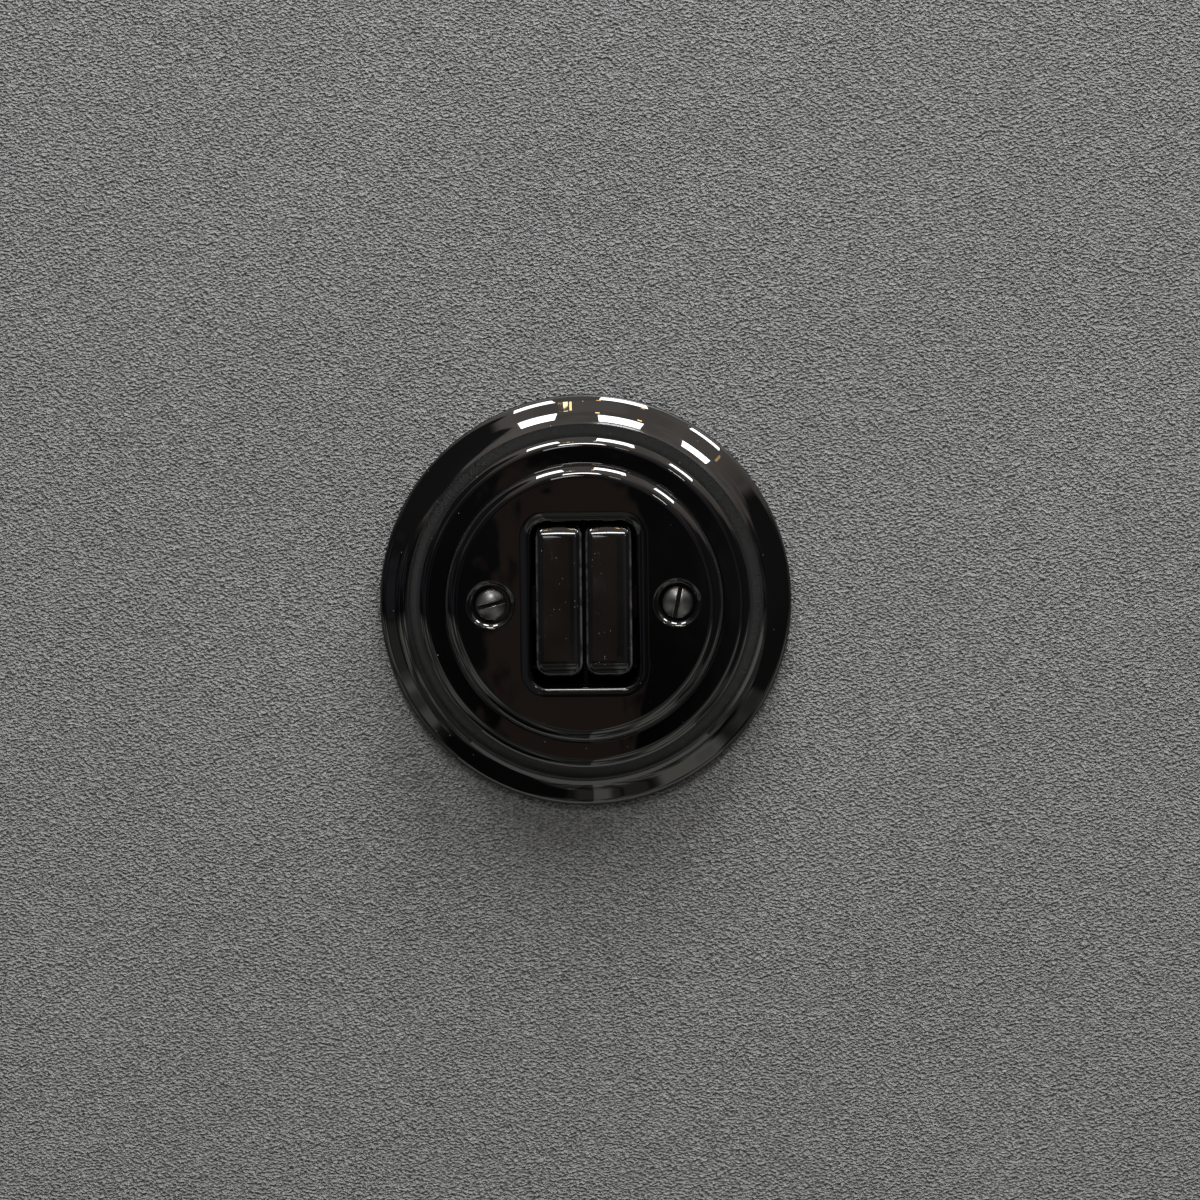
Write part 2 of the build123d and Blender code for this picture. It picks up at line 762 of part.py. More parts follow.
# Base: contact chamber in front, terminal pockets behind
with BuildPart() as switch_base:
    with BuildSketch(front(0)):
        RectangleRounded(base_width, base_length, base_corner)
    extrude(amount=-base_depth)
    with BuildSketch(front(0)):
        Rectangle(opening_width, opening_length)
    extrude(amount=floor_height, mode=Mode.SUBTRACT)
    with BuildSketch(front(floor_height)):
        with Locations(*PILLARS):
            Circle(pillar_diameter / 2)
    extrude(amount=return_seat - floor_height)
    with BuildSketch(front(return_seat)):
        with Locations(*PILLARS):
            Circle(stub_diameter / 2)
    extrude(amount=pin_height)
    with BuildSketch(front(floor_height)):
        stop_z = -link_far - end_play
        span(
            rocker_x - rest_stop_width / 2,
            rocker_x + rest_stop_width / 2,
            stop_z - rest_stop_length,
            stop_z,
        )
    extrude(amount=contact_height - floor_height)
    with BuildSketch(front(-base_depth)):
        for x, end in TERMINALS:
            pocket_x = clamp_width / 2 + clamp_clearance
            pocket_in = end * (clamp_inner - clamp_clearance)
            pocket_out = end * (clamp_outer + clamp_clearance)
            span(x - pocket_x, x + pocket_x, pocket_in, pocket_out)
    extrude(amount=base_depth + pocket_top, mode=Mode.SUBTRACT)
    with BuildSketch(front(floor_height)):
        for x, end in TERMINALS:
            slot_x = leg_width / 2 + fit_clearance
            span(
                x - slot_x,
                x + slot_x,
                end * (leg_z - fit_clearance),
                end * (leg_back + fit_clearance),
            )
    extrude(amount=-base_floor, mode=Mode.SUBTRACT)
    for end in (-1, 1):
        with BuildSketch(Plane.XY.offset(end * clamp_outer)):
            with Locations((-rocker_x, terminal_level), (rocker_x, terminal_level)):
                Circle(terminal_head / 2 + end_play)
        extrude(amount=end * base_length / 2, mode=Mode.SUBTRACT)
    with BuildSketch(front(0)):
        with Locations(*CORNERS):
            Circle(assembly_thread / 2 + thread_clearance)
    extrude(amount=-assembly_length, mode=Mode.SUBTRACT)
    with BuildSketch(front(-base_depth)):
        Circle(rear_thread / 2 + thread_clearance)
    extrude(amount=rear_length, mode=Mode.SUBTRACT)
save(switch_base.part, "switch_base")

# Rear cover with a funnelled wire window behind each terminal
with BuildPart() as rear_cover:
    with BuildSketch(front(-base_depth)):
        RectangleRounded(base_width, base_length, base_corner)
        for x, end in TERMINALS:
            with Locations((x, end * wire_z)):
                Rectangle(wire_window_width, wire_window_length, mode=Mode.SUBTRACT)
        Circle(rear_thread / 2 + fit_clearance, mode=Mode.SUBTRACT)
    extrude(amount=-rear_thickness)
    funnels = rear_cover.faces().sort_by(Axis.Y)[-1].inner_wires().edges().filter_by(GeomType.LINE)
    chamfer(funnels, wire_funnel)
save(rear_cover.part, "rear_cover")

# Screw of the rear cover
rear_seat = Plane(origin=(0, rear_face, 0), x_dir=(1, 0, 0), z_dir=(0, 1, 0))
save(flat_screw(rear_seat, rear_thread, rear_length, rear_head), "rear_cover_screw")

# Screws that clamp the housing and the plate to the base
with BuildPart() as assembly_screws:
    for x, z in CORNERS:
        seat = front(housing_floor, x, z)
        add(flat_screw(seat, assembly_thread, assembly_length, assembly_head))
save(assembly_screws.part, "assembly_screws")
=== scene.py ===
import logging
import math
from dataclasses import dataclass
from enum import Enum
from functools import cache
from typing import Any, Iterable, Sequence

import bmesh
import bpy
from mathutils import Matrix, Vector
from mathutils.geometry import delaunay_2d_cdt


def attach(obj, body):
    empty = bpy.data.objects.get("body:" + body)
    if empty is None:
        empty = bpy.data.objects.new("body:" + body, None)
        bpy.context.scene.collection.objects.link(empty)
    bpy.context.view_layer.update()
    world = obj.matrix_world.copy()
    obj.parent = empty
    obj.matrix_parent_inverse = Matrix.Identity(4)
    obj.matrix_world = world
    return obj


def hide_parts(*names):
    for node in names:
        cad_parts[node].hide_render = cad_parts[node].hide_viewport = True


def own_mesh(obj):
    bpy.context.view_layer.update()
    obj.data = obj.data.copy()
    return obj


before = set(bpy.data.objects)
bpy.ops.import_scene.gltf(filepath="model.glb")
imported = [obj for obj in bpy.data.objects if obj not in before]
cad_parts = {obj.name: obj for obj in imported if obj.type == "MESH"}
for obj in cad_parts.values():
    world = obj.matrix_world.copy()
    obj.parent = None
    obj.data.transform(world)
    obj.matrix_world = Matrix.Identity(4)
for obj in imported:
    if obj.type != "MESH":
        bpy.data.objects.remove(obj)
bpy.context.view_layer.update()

LOG = logging.getLogger("shutter_switch")

Colour = tuple[float, float, float]
Point = tuple[float, float]
Spot = tuple[float, float, float]
Stops = Sequence[tuple[float, Colour]]
Values = dict[str | int, Any]
Mesh = bpy.types.Mesh
Node = bpy.types.Node
NodeTree = bpy.types.NodeTree
Object = bpy.types.Object
Socket = bpy.types.NodeSocket

MM = 0.001
ROOT = "switch_body"
HOLD = 0.01  # millimetres from the end of a round to the point that keeps the next face flat
ARC_STEP = 3.0  # degrees that one segment of a rounded corner turns at most
FILL_GAP = 1e-6  # millimetres within which the corners of a filled outline are merged
DOUBLE = 1e-7  # metres within which the points of a new mesh are merged
WELD = 2e-6  # metres within which the points of a solid's mesh are merged
FLAT_ANGLE = 0.5  # degrees up to which the faces of a solid count as one
EDGE_ANGLE = 35.0  # degrees past which an edge of a solid is rounded
SHARP_ANGLE = 52.0  # degrees past which an edge of a rounded solid stays sharp
LAMP_POWER = 4.0  # watts for each square metre and unit of radiance of a lamp
WARM: Colour = (1.0, 0.62, 0.26)


class Side(Enum):
    """Which of the two rockers a piece belongs to."""

    LEFT = -1
    RIGHT = 1

    @property
    def word(self) -> str:
        """Lower-case word of the side, as the CAD names use it."""
        return self.name.lower()


class HeadForm(Enum):
    """Shape of a screw's head."""

    DOMED = "domed"
    FLAT = "flat"


class Facing(Enum):
    """Where a screw's head looks, as its turn about the X axis in degrees."""

    FRONT = 90.0
    BACK = -90.0
    UP = 0.0
    DOWN = 180.0


# ---- node trees


class Graph:
    """Short hand for filling a shader or geometry node tree."""

    def __init__(self, tree: NodeTree) -> None:
        """Keep the tree that the nodes go into."""
        self.tree = tree

    def node(self, kind: str, values: Values | None = None, **settings: Any) -> Node:
        """Add one node.

        Args:
            kind: Blender's name of the node type.
            values: Plain values, or sockets to link from, by input name or index.
            settings: Properties of the node itself.

        Returns:
            The new node.
        """
        made = self.tree.nodes.new(kind)
        for key, value in settings.items():
            setattr(made, key, value)
        for key, value in (values or {}).items():
            if isinstance(value, Socket):
                self.tree.links.new(value, made.inputs[key])
            else:
                made.inputs[key].default_value = value
        return made

    def noise(self, coords: Socket, scale: float, detail: float = 3.0) -> Socket:
        """Cloudy value between 0 and 1, `scale` features to the metre."""
        values: Values = {"Vector": coords, "Scale": scale, "Detail": detail}
        return self.node("ShaderNodeTexNoise", values).outputs[0]

    def maths(self, operation: str, first: Any, second: Any = 0.0) -> Socket:
        """Result of one math operation on two values or sockets."""
        return self.node("ShaderNodeMath", {0: first, 1: second}, operation=operation).outputs[0]

    def times(self, first: Any, second: Any) -> Socket:
        """Product of two values or sockets."""
        return self.maths("MULTIPLY", first, second)

    def plus(self, first: Any, second: Any) -> Socket:
        """Sum of two values or sockets."""
        return self.maths("ADD", first, second)

    def scaled(self, colour: Socket, factor: Socket) -> Socket:
        """Colour whose three parts are multiplied by a value."""
        return self.node("ShaderNodeVectorMath", {0: colour, 1: factor}, operation="MULTIPLY").outputs[0]

    def span(self, value: Socket, low: float, high: float, start: float = 0.0, end: float = 1.0) -> Socket:
        """Smooth change from `start` to `end` while the value goes from `low` to `high`.

        Args:
            value: The socket that is read.
            low: Value at which the change begins.
            high: Value at which the change is complete.
            start: Result below `low`.
            end: Result above `high`.

        Returns:
            The socket with the result.
        """
        values: Values = {"Value": value, "From Min": low, "From Max": high, "To Min": start, "To Max": end}
        return self.node("ShaderNodeMapRange", values, interpolation_type="SMOOTHSTEP").outputs["Result"]

    def ramp(self, value: Socket, stops: Stops) -> Socket:
        """Colour from a row of stops, each a position and its colour.

        Args:
            value: Position on the ramp, 0 to 1.
            stops: Position and colour of each stop, in order.

        Returns:
            Socket with the colour.
        """
        made = self.node("ShaderNodeValToRGB", {"Fac": value})
        elements = made.color_ramp.elements
        elements[0].position, elements[0].color = stops[0][0], (*stops[0][1], 1.0)
        elements[1].position, elements[1].color = stops[-1][0], (*stops[-1][1], 1.0)
        for position, colour in stops[1:-1]:
            elements.new(position).color = (*colour, 1.0)
        return made.outputs["Color"]

    def blend(self, factor: Any, first: Any, second: Any) -> Socket:
        """Mix of two colours, each a socket or a plain colour."""
        first, second = (tone if isinstance(tone, Socket) else (*tone, 1.0) for tone in (first, second))
        return self.node("ShaderNodeMix", {0: factor, 6: first, 7: second}, data_type="RGBA").outputs[2]

    def bump(
        self, height: Socket, distance: float, strength: float = 1.0, normal: Socket | None = None
    ) -> Socket:
        """Normal bent by a height map that is `distance` metres tall.

        Args:
            height: The height map.
            distance: Metres that its full height stands for.
            strength: Share of the effect.
            normal: Normal that is bent further, if any.

        Returns:
            Socket with the normal.
        """
        bent: Values = {"Normal": normal} if normal is not None else {}
        values: Values = {"Height": height, "Distance": distance, "Strength": strength, **bent}
        return self.node("ShaderNodeBump", values).outputs["Normal"]

    def attribute(self, name: str) -> Socket:
        """Value of a mesh attribute."""
        return self.node("ShaderNodeAttribute", attribute_name=name).outputs["Fac"]

    def place(self, texture: str) -> Socket:
        """Texture coordinates of the named kind."""
        return self.node("ShaderNodeTexCoord").outputs[texture]

    def surface(self, shader: Node) -> None:
        """End a material with a shader."""
        self.node("ShaderNodeOutputMaterial", {"Surface": shader.outputs[0]})

    def result(self, geometry: Socket, material: Any) -> None:
        """End a geometry tree with plain geometry in one material.

        Args:
            geometry: What the tree has made.
            material: Material, or the socket that gives it.
        """
        whole = self.node("GeometryNodeRealizeInstances", {0: geometry})
        dressed = self.node("GeometryNodeSetMaterial", {"Geometry": whole.outputs[0], "Material": material})
        self.node("NodeGroupOutput", {0: dressed.outputs[0]})


def blank_material(name: str) -> tuple[bpy.types.Material, Graph]:
    """New material without nodes, and the graph that fills it.

    Args:
        name: Name of the material.

    Returns:
        The material and its graph.
    """
    made = bpy.data.materials.new(name)
    made.use_nodes = True
    made.node_tree.nodes.clear()
    return made, Graph(made.node_tree)


def shade(colour: Colour, factor: float) -> Colour:
    """Colour made darker or lighter by a factor."""
    return tuple(factor * part for part in colour)


# ---- finishes


@dataclass(frozen=True)
class Finish:
    """Common part of every procedural finish."""

    name: str
    slot: str

    @cache
    def material(self) -> bpy.types.Material:
        """Material of this finish, made once and then shared.

        Returns:
            The material.
        """
        made, graph = blank_material(self.name)
        shader = graph.node("ShaderNodeBsdfPrincipled")
        graph.surface(shader)
        self.paint(graph, shader, graph.place("Object"))
        return made

    def paint(self, graph: Graph, shader: Node, coords: Socket) -> None:
        """Fill the shader; each finish has its own way."""
        raise NotImplementedError

    @staticmethod
    def feed(graph: Graph, shader: Node, colour: Socket, roughness: Socket, normal: Socket) -> None:
        """Link the three maps that every finish has."""
        for name, found in (("Base Color", colour), ("Roughness", roughness), ("Normal", normal)):
            graph.tree.links.new(found, shader.inputs[name])

    @staticmethod
    def dust(graph: Graph, coords: Socket, scale: float, rarity: float) -> Socket:
        """Mask of sparse round specks.

        Args:
            graph: Tree that gets the nodes.
            coords: Coordinates of the pattern.
            scale: Speck cells to the metre.
            rarity: Share of the cells that stay empty.

        Returns:
            Socket that is 1 in a speck and 0 elsewhere.
        """
        cell = graph.node("ShaderNodeTexVoronoi", {"Vector": coords, "Scale": scale})
        tone = graph.node("ShaderNodeSeparateColor", {"Color": cell.outputs["Color"]})
        chosen = graph.maths("GREATER_THAN", tone.outputs[0], rarity)
        size = graph.span(tone.outputs[1], 0.0, 1.0, 0.04, 0.16)
        spot = graph.maths("LESS_THAN", cell.outputs["Distance"], size)
        return graph.times(chosen, spot)


@dataclass(frozen=True)
class GlazeFinish(Finish):
    """Fired gloss glaze on a pale porcelain body, bare where the piece stood in the kiln."""

    deep: Colour = (0.0007, 0.0006, 0.0006)
    thin: Colour = (0.0017, 0.0016, 0.0016)
    body: Colour = (0.70, 0.67, 0.61)
    dust_tone: Colour = (0.20, 0.19, 0.17)
    ripple: float = 0.000022
    satin: float = 0.14

    def paint(self, graph: Graph, shader: Node, coords: Socket) -> None:
        """Black glaze with slow ripples, a faint haze and a little dust.

        Args:
            graph: Tree that gets the nodes.
            shader: Shader that is fed.
            coords: Coordinates on the piece, in metres.
        """
        cloud = graph.noise(coords, 38.0, 2.0)
        glaze = graph.ramp(cloud, [(0.32, self.deep), (0.68, self.thin)])
        specks = self.dust(graph, coords, 900.0, 0.972)
        colour = graph.blend(graph.times(specks, 0.55), glaze, self.dust_tone)
        ragged = graph.times(graph.noise(coords, 900.0, 4.0), 0.6)
        bare = graph.span(graph.plus(graph.attribute("bare"), ragged), 0.72, 0.86)
        grain = graph.noise(coords, 2600.0, 5.0)
        biscuit = graph.blend(grain, self.body, shade(self.body, 0.82))
        colour = graph.blend(bare, colour, biscuit)
        haze = graph.span(graph.noise(coords, 95.0, 5.0), 0.45, 0.80, 0.012, 0.034)
        satin = graph.times(graph.attribute("satin"), self.satin)
        rough = graph.plus(graph.plus(haze, satin), graph.times(specks, 0.35))
        rough = graph.maths("MAXIMUM", rough, graph.times(bare, 0.82))
        normal = graph.bump(graph.noise(coords, 105.0, 1.5), self.ripple)
        normal = graph.bump(graph.times(bare, grain), 0.00003, 1.0, normal)
        self.feed(graph, shader, colour, rough, normal)
        shader.inputs["IOR"].default_value = 1.62


@dataclass(frozen=True)
class PolishFinish(Finish):
    """Polished moulding with fine rub marks, a handled haze, dust, and worn edges that are also lightened to
    a bluish tone as a painted edge highlight.
    """

    tone: Colour = (0.0016, 0.0014, 0.0013)
    rubbed: Colour = (0.0042, 0.0038, 0.0035)
    worn: Colour = (0.085, 0.084, 0.090)
    dust_tone: Colour = (0.24, 0.22, 0.20)

    def paint(self, graph: Graph, shader: Node, coords: Socket) -> None:
        """Near-black gloss, hazier where fingers press, with edges that are partly worn and partly a painted
        highlight.

        Args:
            graph: Tree that gets the nodes.
            shader: Shader that is fed.
            coords: Coordinates on the piece, in metres.
        """
        cloud = graph.noise(coords, 70.0, 4.0)
        colour = graph.ramp(cloud, [(0.35, self.tone), (0.72, self.rubbed)])
        specks = self.dust(graph, coords, 1400.0, 0.82)
        colour = graph.blend(graph.times(specks, 0.5), colour, self.dust_tone)
        # Edge mark: real wear that roughens the edges, plus a lighter bluish colour that is a painted
        # highlight along the keys' edges.
        patchy = graph.span(graph.noise(coords, 420.0, 4.0), 0.35, 0.62, 0.25, 1.0)
        wear = graph.times(graph.attribute("wear"), patchy)
        colour = graph.blend(wear, colour, self.worn)
        stretched = graph.node("ShaderNodeMapping", {"Vector": coords, "Scale": (2600.0, 300.0, 220.0)})
        rubs = graph.noise(stretched.outputs[0], 1.0, 2.0)
        haze = graph.span(graph.noise(coords, 160.0, 5.0), 0.42, 0.80, 0.030, 0.085)
        rough = graph.plus(haze, graph.span(rubs, 0.60, 0.80, 0.0, 0.06))
        rough = graph.plus(rough, graph.times(specks, 0.35))
        rough = graph.plus(rough, graph.times(wear, 0.22))
        normal = graph.bump(graph.noise(coords, 260.0, 2.0), 0.000006)
        normal = graph.bump(rubs, 0.0000012, 1.0, normal)
        self.feed(graph, shader, colour, rough, normal)
        shader.inputs["IOR"].default_value = 1.50


@dataclass(frozen=True)
class MetalFinish(Finish):
    """Bare, plated or blackened metal with a fine grain, brighter worn edges and a painted shade inside
    screw slots.
    """

    tone: Colour = (0.6, 0.6, 0.6)
    stain: Colour = (0.5, 0.5, 0.5)
    worn: Colour = (0.8, 0.8, 0.8)
    smooth: float = 0.28
    dull: float = 0.46
    grain: float = 1500.0
    relief: float = 0.000004

    def paint(self, graph: Graph, shader: Node, coords: Socket) -> None:
        """Stained metal whose worn parts are brighter and smoother, and whose slot inside is painted
        near-black as shade.

        Args:
            graph: Tree that gets the nodes.
            shader: Shader that is fed.
            coords: Coordinates on the piece, in metres.
        """
        cloud = graph.noise(coords, 210.0, 4.0)
        fine = graph.noise(coords, self.grain, 4.0)
        colour = graph.ramp(cloud, [(0.35, self.stain), (0.65, self.tone)])
        rubbed = graph.times(graph.attribute("wear"), graph.span(fine, 0.3, 0.6, 0.55, 1.0))
        colour = graph.blend(rubbed, colour, self.worn)
        # Painted shade: the inside of a screw's slot is blended to near-black and made rougher.
        grime = graph.attribute("grime")
        colour = graph.blend(graph.times(grime, 0.94), colour, (0.006, 0.006, 0.006))
        uneven = graph.plus(cloud, graph.times(fine, 0.5))
        rough = graph.span(uneven, 0.45, 1.0, self.smooth, self.dull)
        rough = graph.maths("SUBTRACT", rough, graph.times(rubbed, 0.08))
        rough = graph.maths("MAXIMUM", rough, graph.times(grime, 0.7))
        self.feed(graph, shader, colour, rough, graph.bump(fine, self.relief))
        shader.inputs["Metallic"].default_value = 1.0


@dataclass(frozen=True)
class MouldedFinish(Finish):
    """Moulded plastic with a fine die texture and faint flow marks."""

    tone: Colour = (0.5, 0.5, 0.5)
    flow: Colour = (0.45, 0.45, 0.45)
    smooth: float = 0.38
    dull: float = 0.56
    grain: float = 2300.0
    relief: float = 0.000012
    gloss: float = 0.5

    def paint(self, graph: Graph, shader: Node, coords: Socket) -> None:
        """Even moulding with slow flow marks and a fine spark texture.

        Args:
            graph: Tree that gets the nodes.
            shader: Shader that is fed.
            coords: Coordinates on the piece, in metres.
        """
        cloud = graph.noise(coords, 120.0, 3.0)
        fine = graph.noise(coords, self.grain, 4.0)
        colour = graph.ramp(cloud, [(0.35, self.tone), (0.7, self.flow)])
        rough = graph.span(fine, 0.35, 0.7, self.smooth, self.dull)
        self.feed(graph, shader, colour, rough, graph.bump(fine, self.relief))
        shader.inputs["Specular IOR Level"].default_value = self.gloss


GLAZE = GlazeFinish("gloss black glaze", "black_porcelain")
KEY_POLISH = PolishFinish("polished key moulding", "key_plastic")
BLACKENED = MetalFinish(
    "blackened screw steel", "dark_steel",
    (0.175, 0.173, 0.170), (0.098, 0.097, 0.095), (0.52, 0.51, 0.49), 0.25, 0.37, grain=1900.0,
)
ZINC = MetalFinish(
    "zinc plating", "zinc_steel", (0.66, 0.67, 0.67), (0.55, 0.56, 0.54), (0.80, 0.81, 0.82), 0.26, 0.44
)
GROUND_STEEL = MetalFinish(
    "ground axle steel", "axle_steel", (0.62, 0.62, 0.63), (0.52, 0.52, 0.53), (0.78, 0.78, 0.78), 0.18, 0.32
)
SPRING_WIRE = MetalFinish(
    "drawn spring wire", "spring_steel",
    (0.55, 0.56, 0.58), (0.44, 0.44, 0.46), (0.70, 0.71, 0.73), 0.20, 0.36,
)
BRASS = MetalFinish(
    "stamped brass", "brass", (0.76, 0.58, 0.28), (0.62, 0.44, 0.20), (0.85, 0.70, 0.42), 0.24, 0.44
)
SILVER = MetalFinish(
    "contact silver", "silver_alloy", (0.82, 0.81, 0.78), (0.70, 0.68, 0.63), (0.90, 0.89, 0.87), 0.22, 0.40
)
PHENOLIC = MouldedFinish(
    "brown phenolic", "brown_phenolic", (0.0060, 0.0030, 0.0023), (0.0100, 0.0046, 0.0034), 0.42, 0.62,
    gloss=0.15,
)
BLACK_NYLON = MouldedFinish(
    "black nylon", "black_nylon", (0.026, 0.026, 0.027), (0.036, 0.035, 0.035), 0.40, 0.60
)
WHITE_NYLON = MouldedFinish(
    "white nylon", "white_nylon", (0.84, 0.82, 0.75), (0.78, 0.76, 0.68), 0.32, 0.48
)
GREY_MOULDING = MouldedFinish(
    "grey base moulding", "grey_moulding", (0.60, 0.60, 0.57), (0.54, 0.54, 0.51), 0.38, 0.58
)


# ---- mesh building


def rounded_loop(corners: Sequence[Point], radii: Sequence[float]) -> list[Point]:
    """Closed outline with rounded corners and a holding point beside each round.

    Args:
        corners: Corners in order, in millimetres.
        radii: Radius of each corner.

    Returns:
        The points of the outline.
    """
    points: list[Point] = []
    for index, radius in enumerate(radii):
        before, corner = Vector(corners[index - 1]), Vector(corners[index])
        after = Vector(corners[(index + 1) % len(corners)])
        into, out = (corner - before).normalized(), (after - corner).normalized()
        turn = math.atan2(into.x * out.y - into.y * out.x, into.dot(out))
        reach = radius * math.tan(abs(turn) / 2)
        inward = Vector((-into.y, into.x)) * math.copysign(1.0, turn)
        centre = corner - into * reach + inward * radius
        count = max(3, math.ceil(math.degrees(abs(turn)) / ARC_STEP))
        points.append(tuple(corner - into * (reach + HOLD)))
        for k in range(count + 1):
            arm = inward * -radius
            arm.rotate(Matrix.Rotation(turn * k / count, 2))
            points.append(tuple(centre + arm))
        points.append(tuple(corner + out * (reach + HOLD)))
    return points


def quarter(width: float, drop: float, steps: int) -> list[Point]:
    """Distances from the edge and drops along a quarter ellipse, from the flat face outwards."""
    turns = (math.pi / 2 * k / steps for k in range(steps + 1))
    return [(width * (1 - math.sin(t)), drop * (1 - math.cos(t))) for t in turns]


def circle(radius: float, count: int, centre: Point = (0.0, 0.0)) -> list[Point]:
    """Points of a circle in the plane of the wall, anticlockwise."""
    turns = (2 * math.pi * k / count for k in range(count))
    return [(centre[0] + radius * math.cos(t), centre[1] + radius * math.sin(t)) for t in turns]


def rounded_rectangle(half_x: float, half_z: float, radius: float, arc: int = 12) -> list[Point]:
    """Points of a rounded rectangle in the plane of the wall, anticlockwise from the lower right.

    Args:
        half_x: Half of its width.
        half_z: Half of its height.
        radius: Radius of its corners.
        arc: Segments of each corner.

    Returns:
        The points in order.
    """
    points: list[Point] = []
    for corner, (sx, sz) in enumerate(((1, -1), (1, 1), (-1, 1), (-1, -1))):
        for k in range(arc + 1):
            turn = math.pi / 2 * (corner - 1 + k / arc)
            points.append((
                sx * (half_x - radius) + radius * math.cos(turn),
                sz * (half_z - radius) + radius * math.sin(turn),
            ))
    return points


def inside(point: Point, outline: Sequence[Point]) -> bool:
    """True if a point lies within a closed outline.

    Args:
        point: The point.
        outline: Corners of the outline, in order.

    Returns:
        Whether the point lies within.
    """
    within = False
    for (ax, ay), (bx, by) in zip(outline, [*outline[1:], outline[0]]):
        crossing = (ay > point[1]) != (by > point[1])
        if crossing and point[0] < ax + (point[1] - ay) / (by - ay) * (bx - ax):
            within = not within
    return within


class Shell:
    """Mesh under construction, in millimetres: across, up, height in front of the wall."""

    def __init__(self, placing: Matrix | None = None) -> None:
        """Start empty; with a `placing`, the points are in its local axes instead.

        Args:
            placing: Matrix from local axes to the row frame, if the points aren't in the wall's axes.
        """
        self.points: list[Vector] = []
        self.faces: list[tuple[int, ...]] = []
        self.marks: dict[str, dict[int, float]] = {}
        self.placing = placing

    def ring(self, outline: Iterable[Point], level: float) -> list[int]:
        """Add the points of an outline at one level and return their numbers."""
        return self.row(Vector((a, b, level)) for a, b in outline)

    def row(self, points: Iterable[Vector]) -> list[int]:
        """Add points and return their numbers."""
        self.points += (added := list(points))
        return list(range(len(self.points) - len(added), len(self.points)))

    def tube(self, steps: Iterable[tuple[Iterable[Point], float]]) -> list[list[int]]:
        """Add rings, each an outline at a level, and join each one to the next."""
        self.skin(rings := [self.ring(outline, level) for outline, level in steps])
        return rings

    def skin(self, rows: Sequence[Sequence[int]], closed: bool = True) -> None:
        """Join each row of points to the next one with quads."""
        for first, second in zip(rows, rows[1:]):
            self.bridge(first, second, closed)

    def bridge(self, first: Sequence[int], second: Sequence[int], closed: bool = True) -> None:
        """Join two rows of equal length with quads.

        Args:
            first: Numbers of one row.
            second: Numbers of the other row.
            closed: Whether the rows are rings.
        """
        count = len(first)
        for k in range(count if closed else count - 1):
            n = (k + 1) % count
            self.faces.append((first[k], first[n], second[n], second[k]))

    def fill(self, outer: Sequence[int], holes: Sequence[Sequence[int]] = ()) -> None:
        """Fill a flat outline that may have holes with triangles.

        Args:
            outer: Ring of the outline.
            holes: Rings of the holes.
        """
        loops = [list(outer), *map(list, holes)]
        flat = [[tuple(self.points[i].xy) for i in loop] for loop in loops]
        ids = [i for loop in loops for i in loop]
        edges, start = [], 0
        for loop in loops:
            edges += [(start + k, start + (k + 1) % len(loop)) for k in range(len(loop))]
            start += len(loop)
        corners = [Vector(p) for loop in flat for p in loop]
        made, _, triangles, origin, _, _ = delaunay_2d_cdt(corners, edges, [], 0, FILL_GAP)
        for triangle in triangles:
            middle = tuple(sum((made[k] for k in triangle), Vector((0.0, 0.0))) / 3)
            if inside(middle, flat[0]) and not any(inside(middle, hole) for hole in flat[1:]):
                self.faces.append(tuple(ids[origin[k][0]] for k in triangle))

    def mark(self, name: str, rows: Iterable[int], value: float = 1.0) -> None:
        """Give points a value of a named attribute."""
        self.marks.setdefault(name, {}).update({i: value for i in rows})

    def mesh(self, name: str, sharp: float = 50.0) -> Mesh:
        """Finish the mesh.

        Args:
            name: Name of the mesh.
            sharp: Angle in degrees past which an edge is shaded sharp.

        Returns:
            A mesh in metres in the row frame, its faces outwards.
        """
        if self.placing is None:
            places = [Vector((p.x, -p.z, p.y)) * MM for p in self.points]
        else:
            places = [self.placing @ (p * MM) for p in self.points]
        made = bpy.data.meshes.new(name)
        made.from_pydata(places, [], self.faces)
        for title, values in self.marks.items():
            attribute = made.attributes.new(title, "FLOAT", "POINT")
            for i, value in values.items():
                attribute.data[i].value = value
        settle(made, sharp)
        return made


def settle(mesh: Mesh, sharp: float) -> None:
    """Merge doubles, turn the faces outwards and shade smooth with sharp edges past an angle.

    Args:
        mesh: Mesh that is changed.
        sharp: Angle in degrees past which an edge is sharp.
    """
    work = bmesh.new()
    work.from_mesh(mesh)
    bmesh.ops.remove_doubles(work, verts=work.verts, dist=DOUBLE)
    bmesh.ops.recalc_face_normals(work, faces=work.faces)
    work.to_mesh(mesh)
    work.free()
    mesh.shade_smooth()
    mesh.set_sharp_from_angle(angle=math.radians(sharp))


def evaluated(holder: Object) -> Mesh:
    """Plain mesh of an object with its modifiers, which are then removed.

    Args:
        holder: Working object, which is removed.

    Returns:
        The new mesh.
    """
    graph = bpy.context.evaluated_depsgraph_get()
    made = bpy.data.meshes.new_from_object(holder.evaluated_get(graph), depsgraph=graph)
    holder.modifiers.clear()
    bpy.data.objects.remove(holder)
    return made


def linked(name: str, data: bpy.types.ID) -> Object:
    """New object in the scene for a mesh, a light or a camera."""
    bpy.context.scene.collection.objects.link(made := bpy.data.objects.new(name, data))
    return made


def node_group(name: str, inputs: Sequence[Sequence[str]]) -> Graph:
    """New geometry node group with named inputs of given kinds and one geometry output.

    Args:
        name: Name of the group.
        inputs: Name and socket type of each input.

    Returns:
        Graph of the new group.
    """
    made = bpy.data.node_groups.new(name, "GeometryNodeTree")
    for title, kind in inputs:
        made.interface.new_socket(title, in_out="INPUT", socket_type=kind)
    made.interface.new_socket("Geometry", in_out="OUTPUT", socket_type="NodeSocketGeometry")
    return Graph(made)


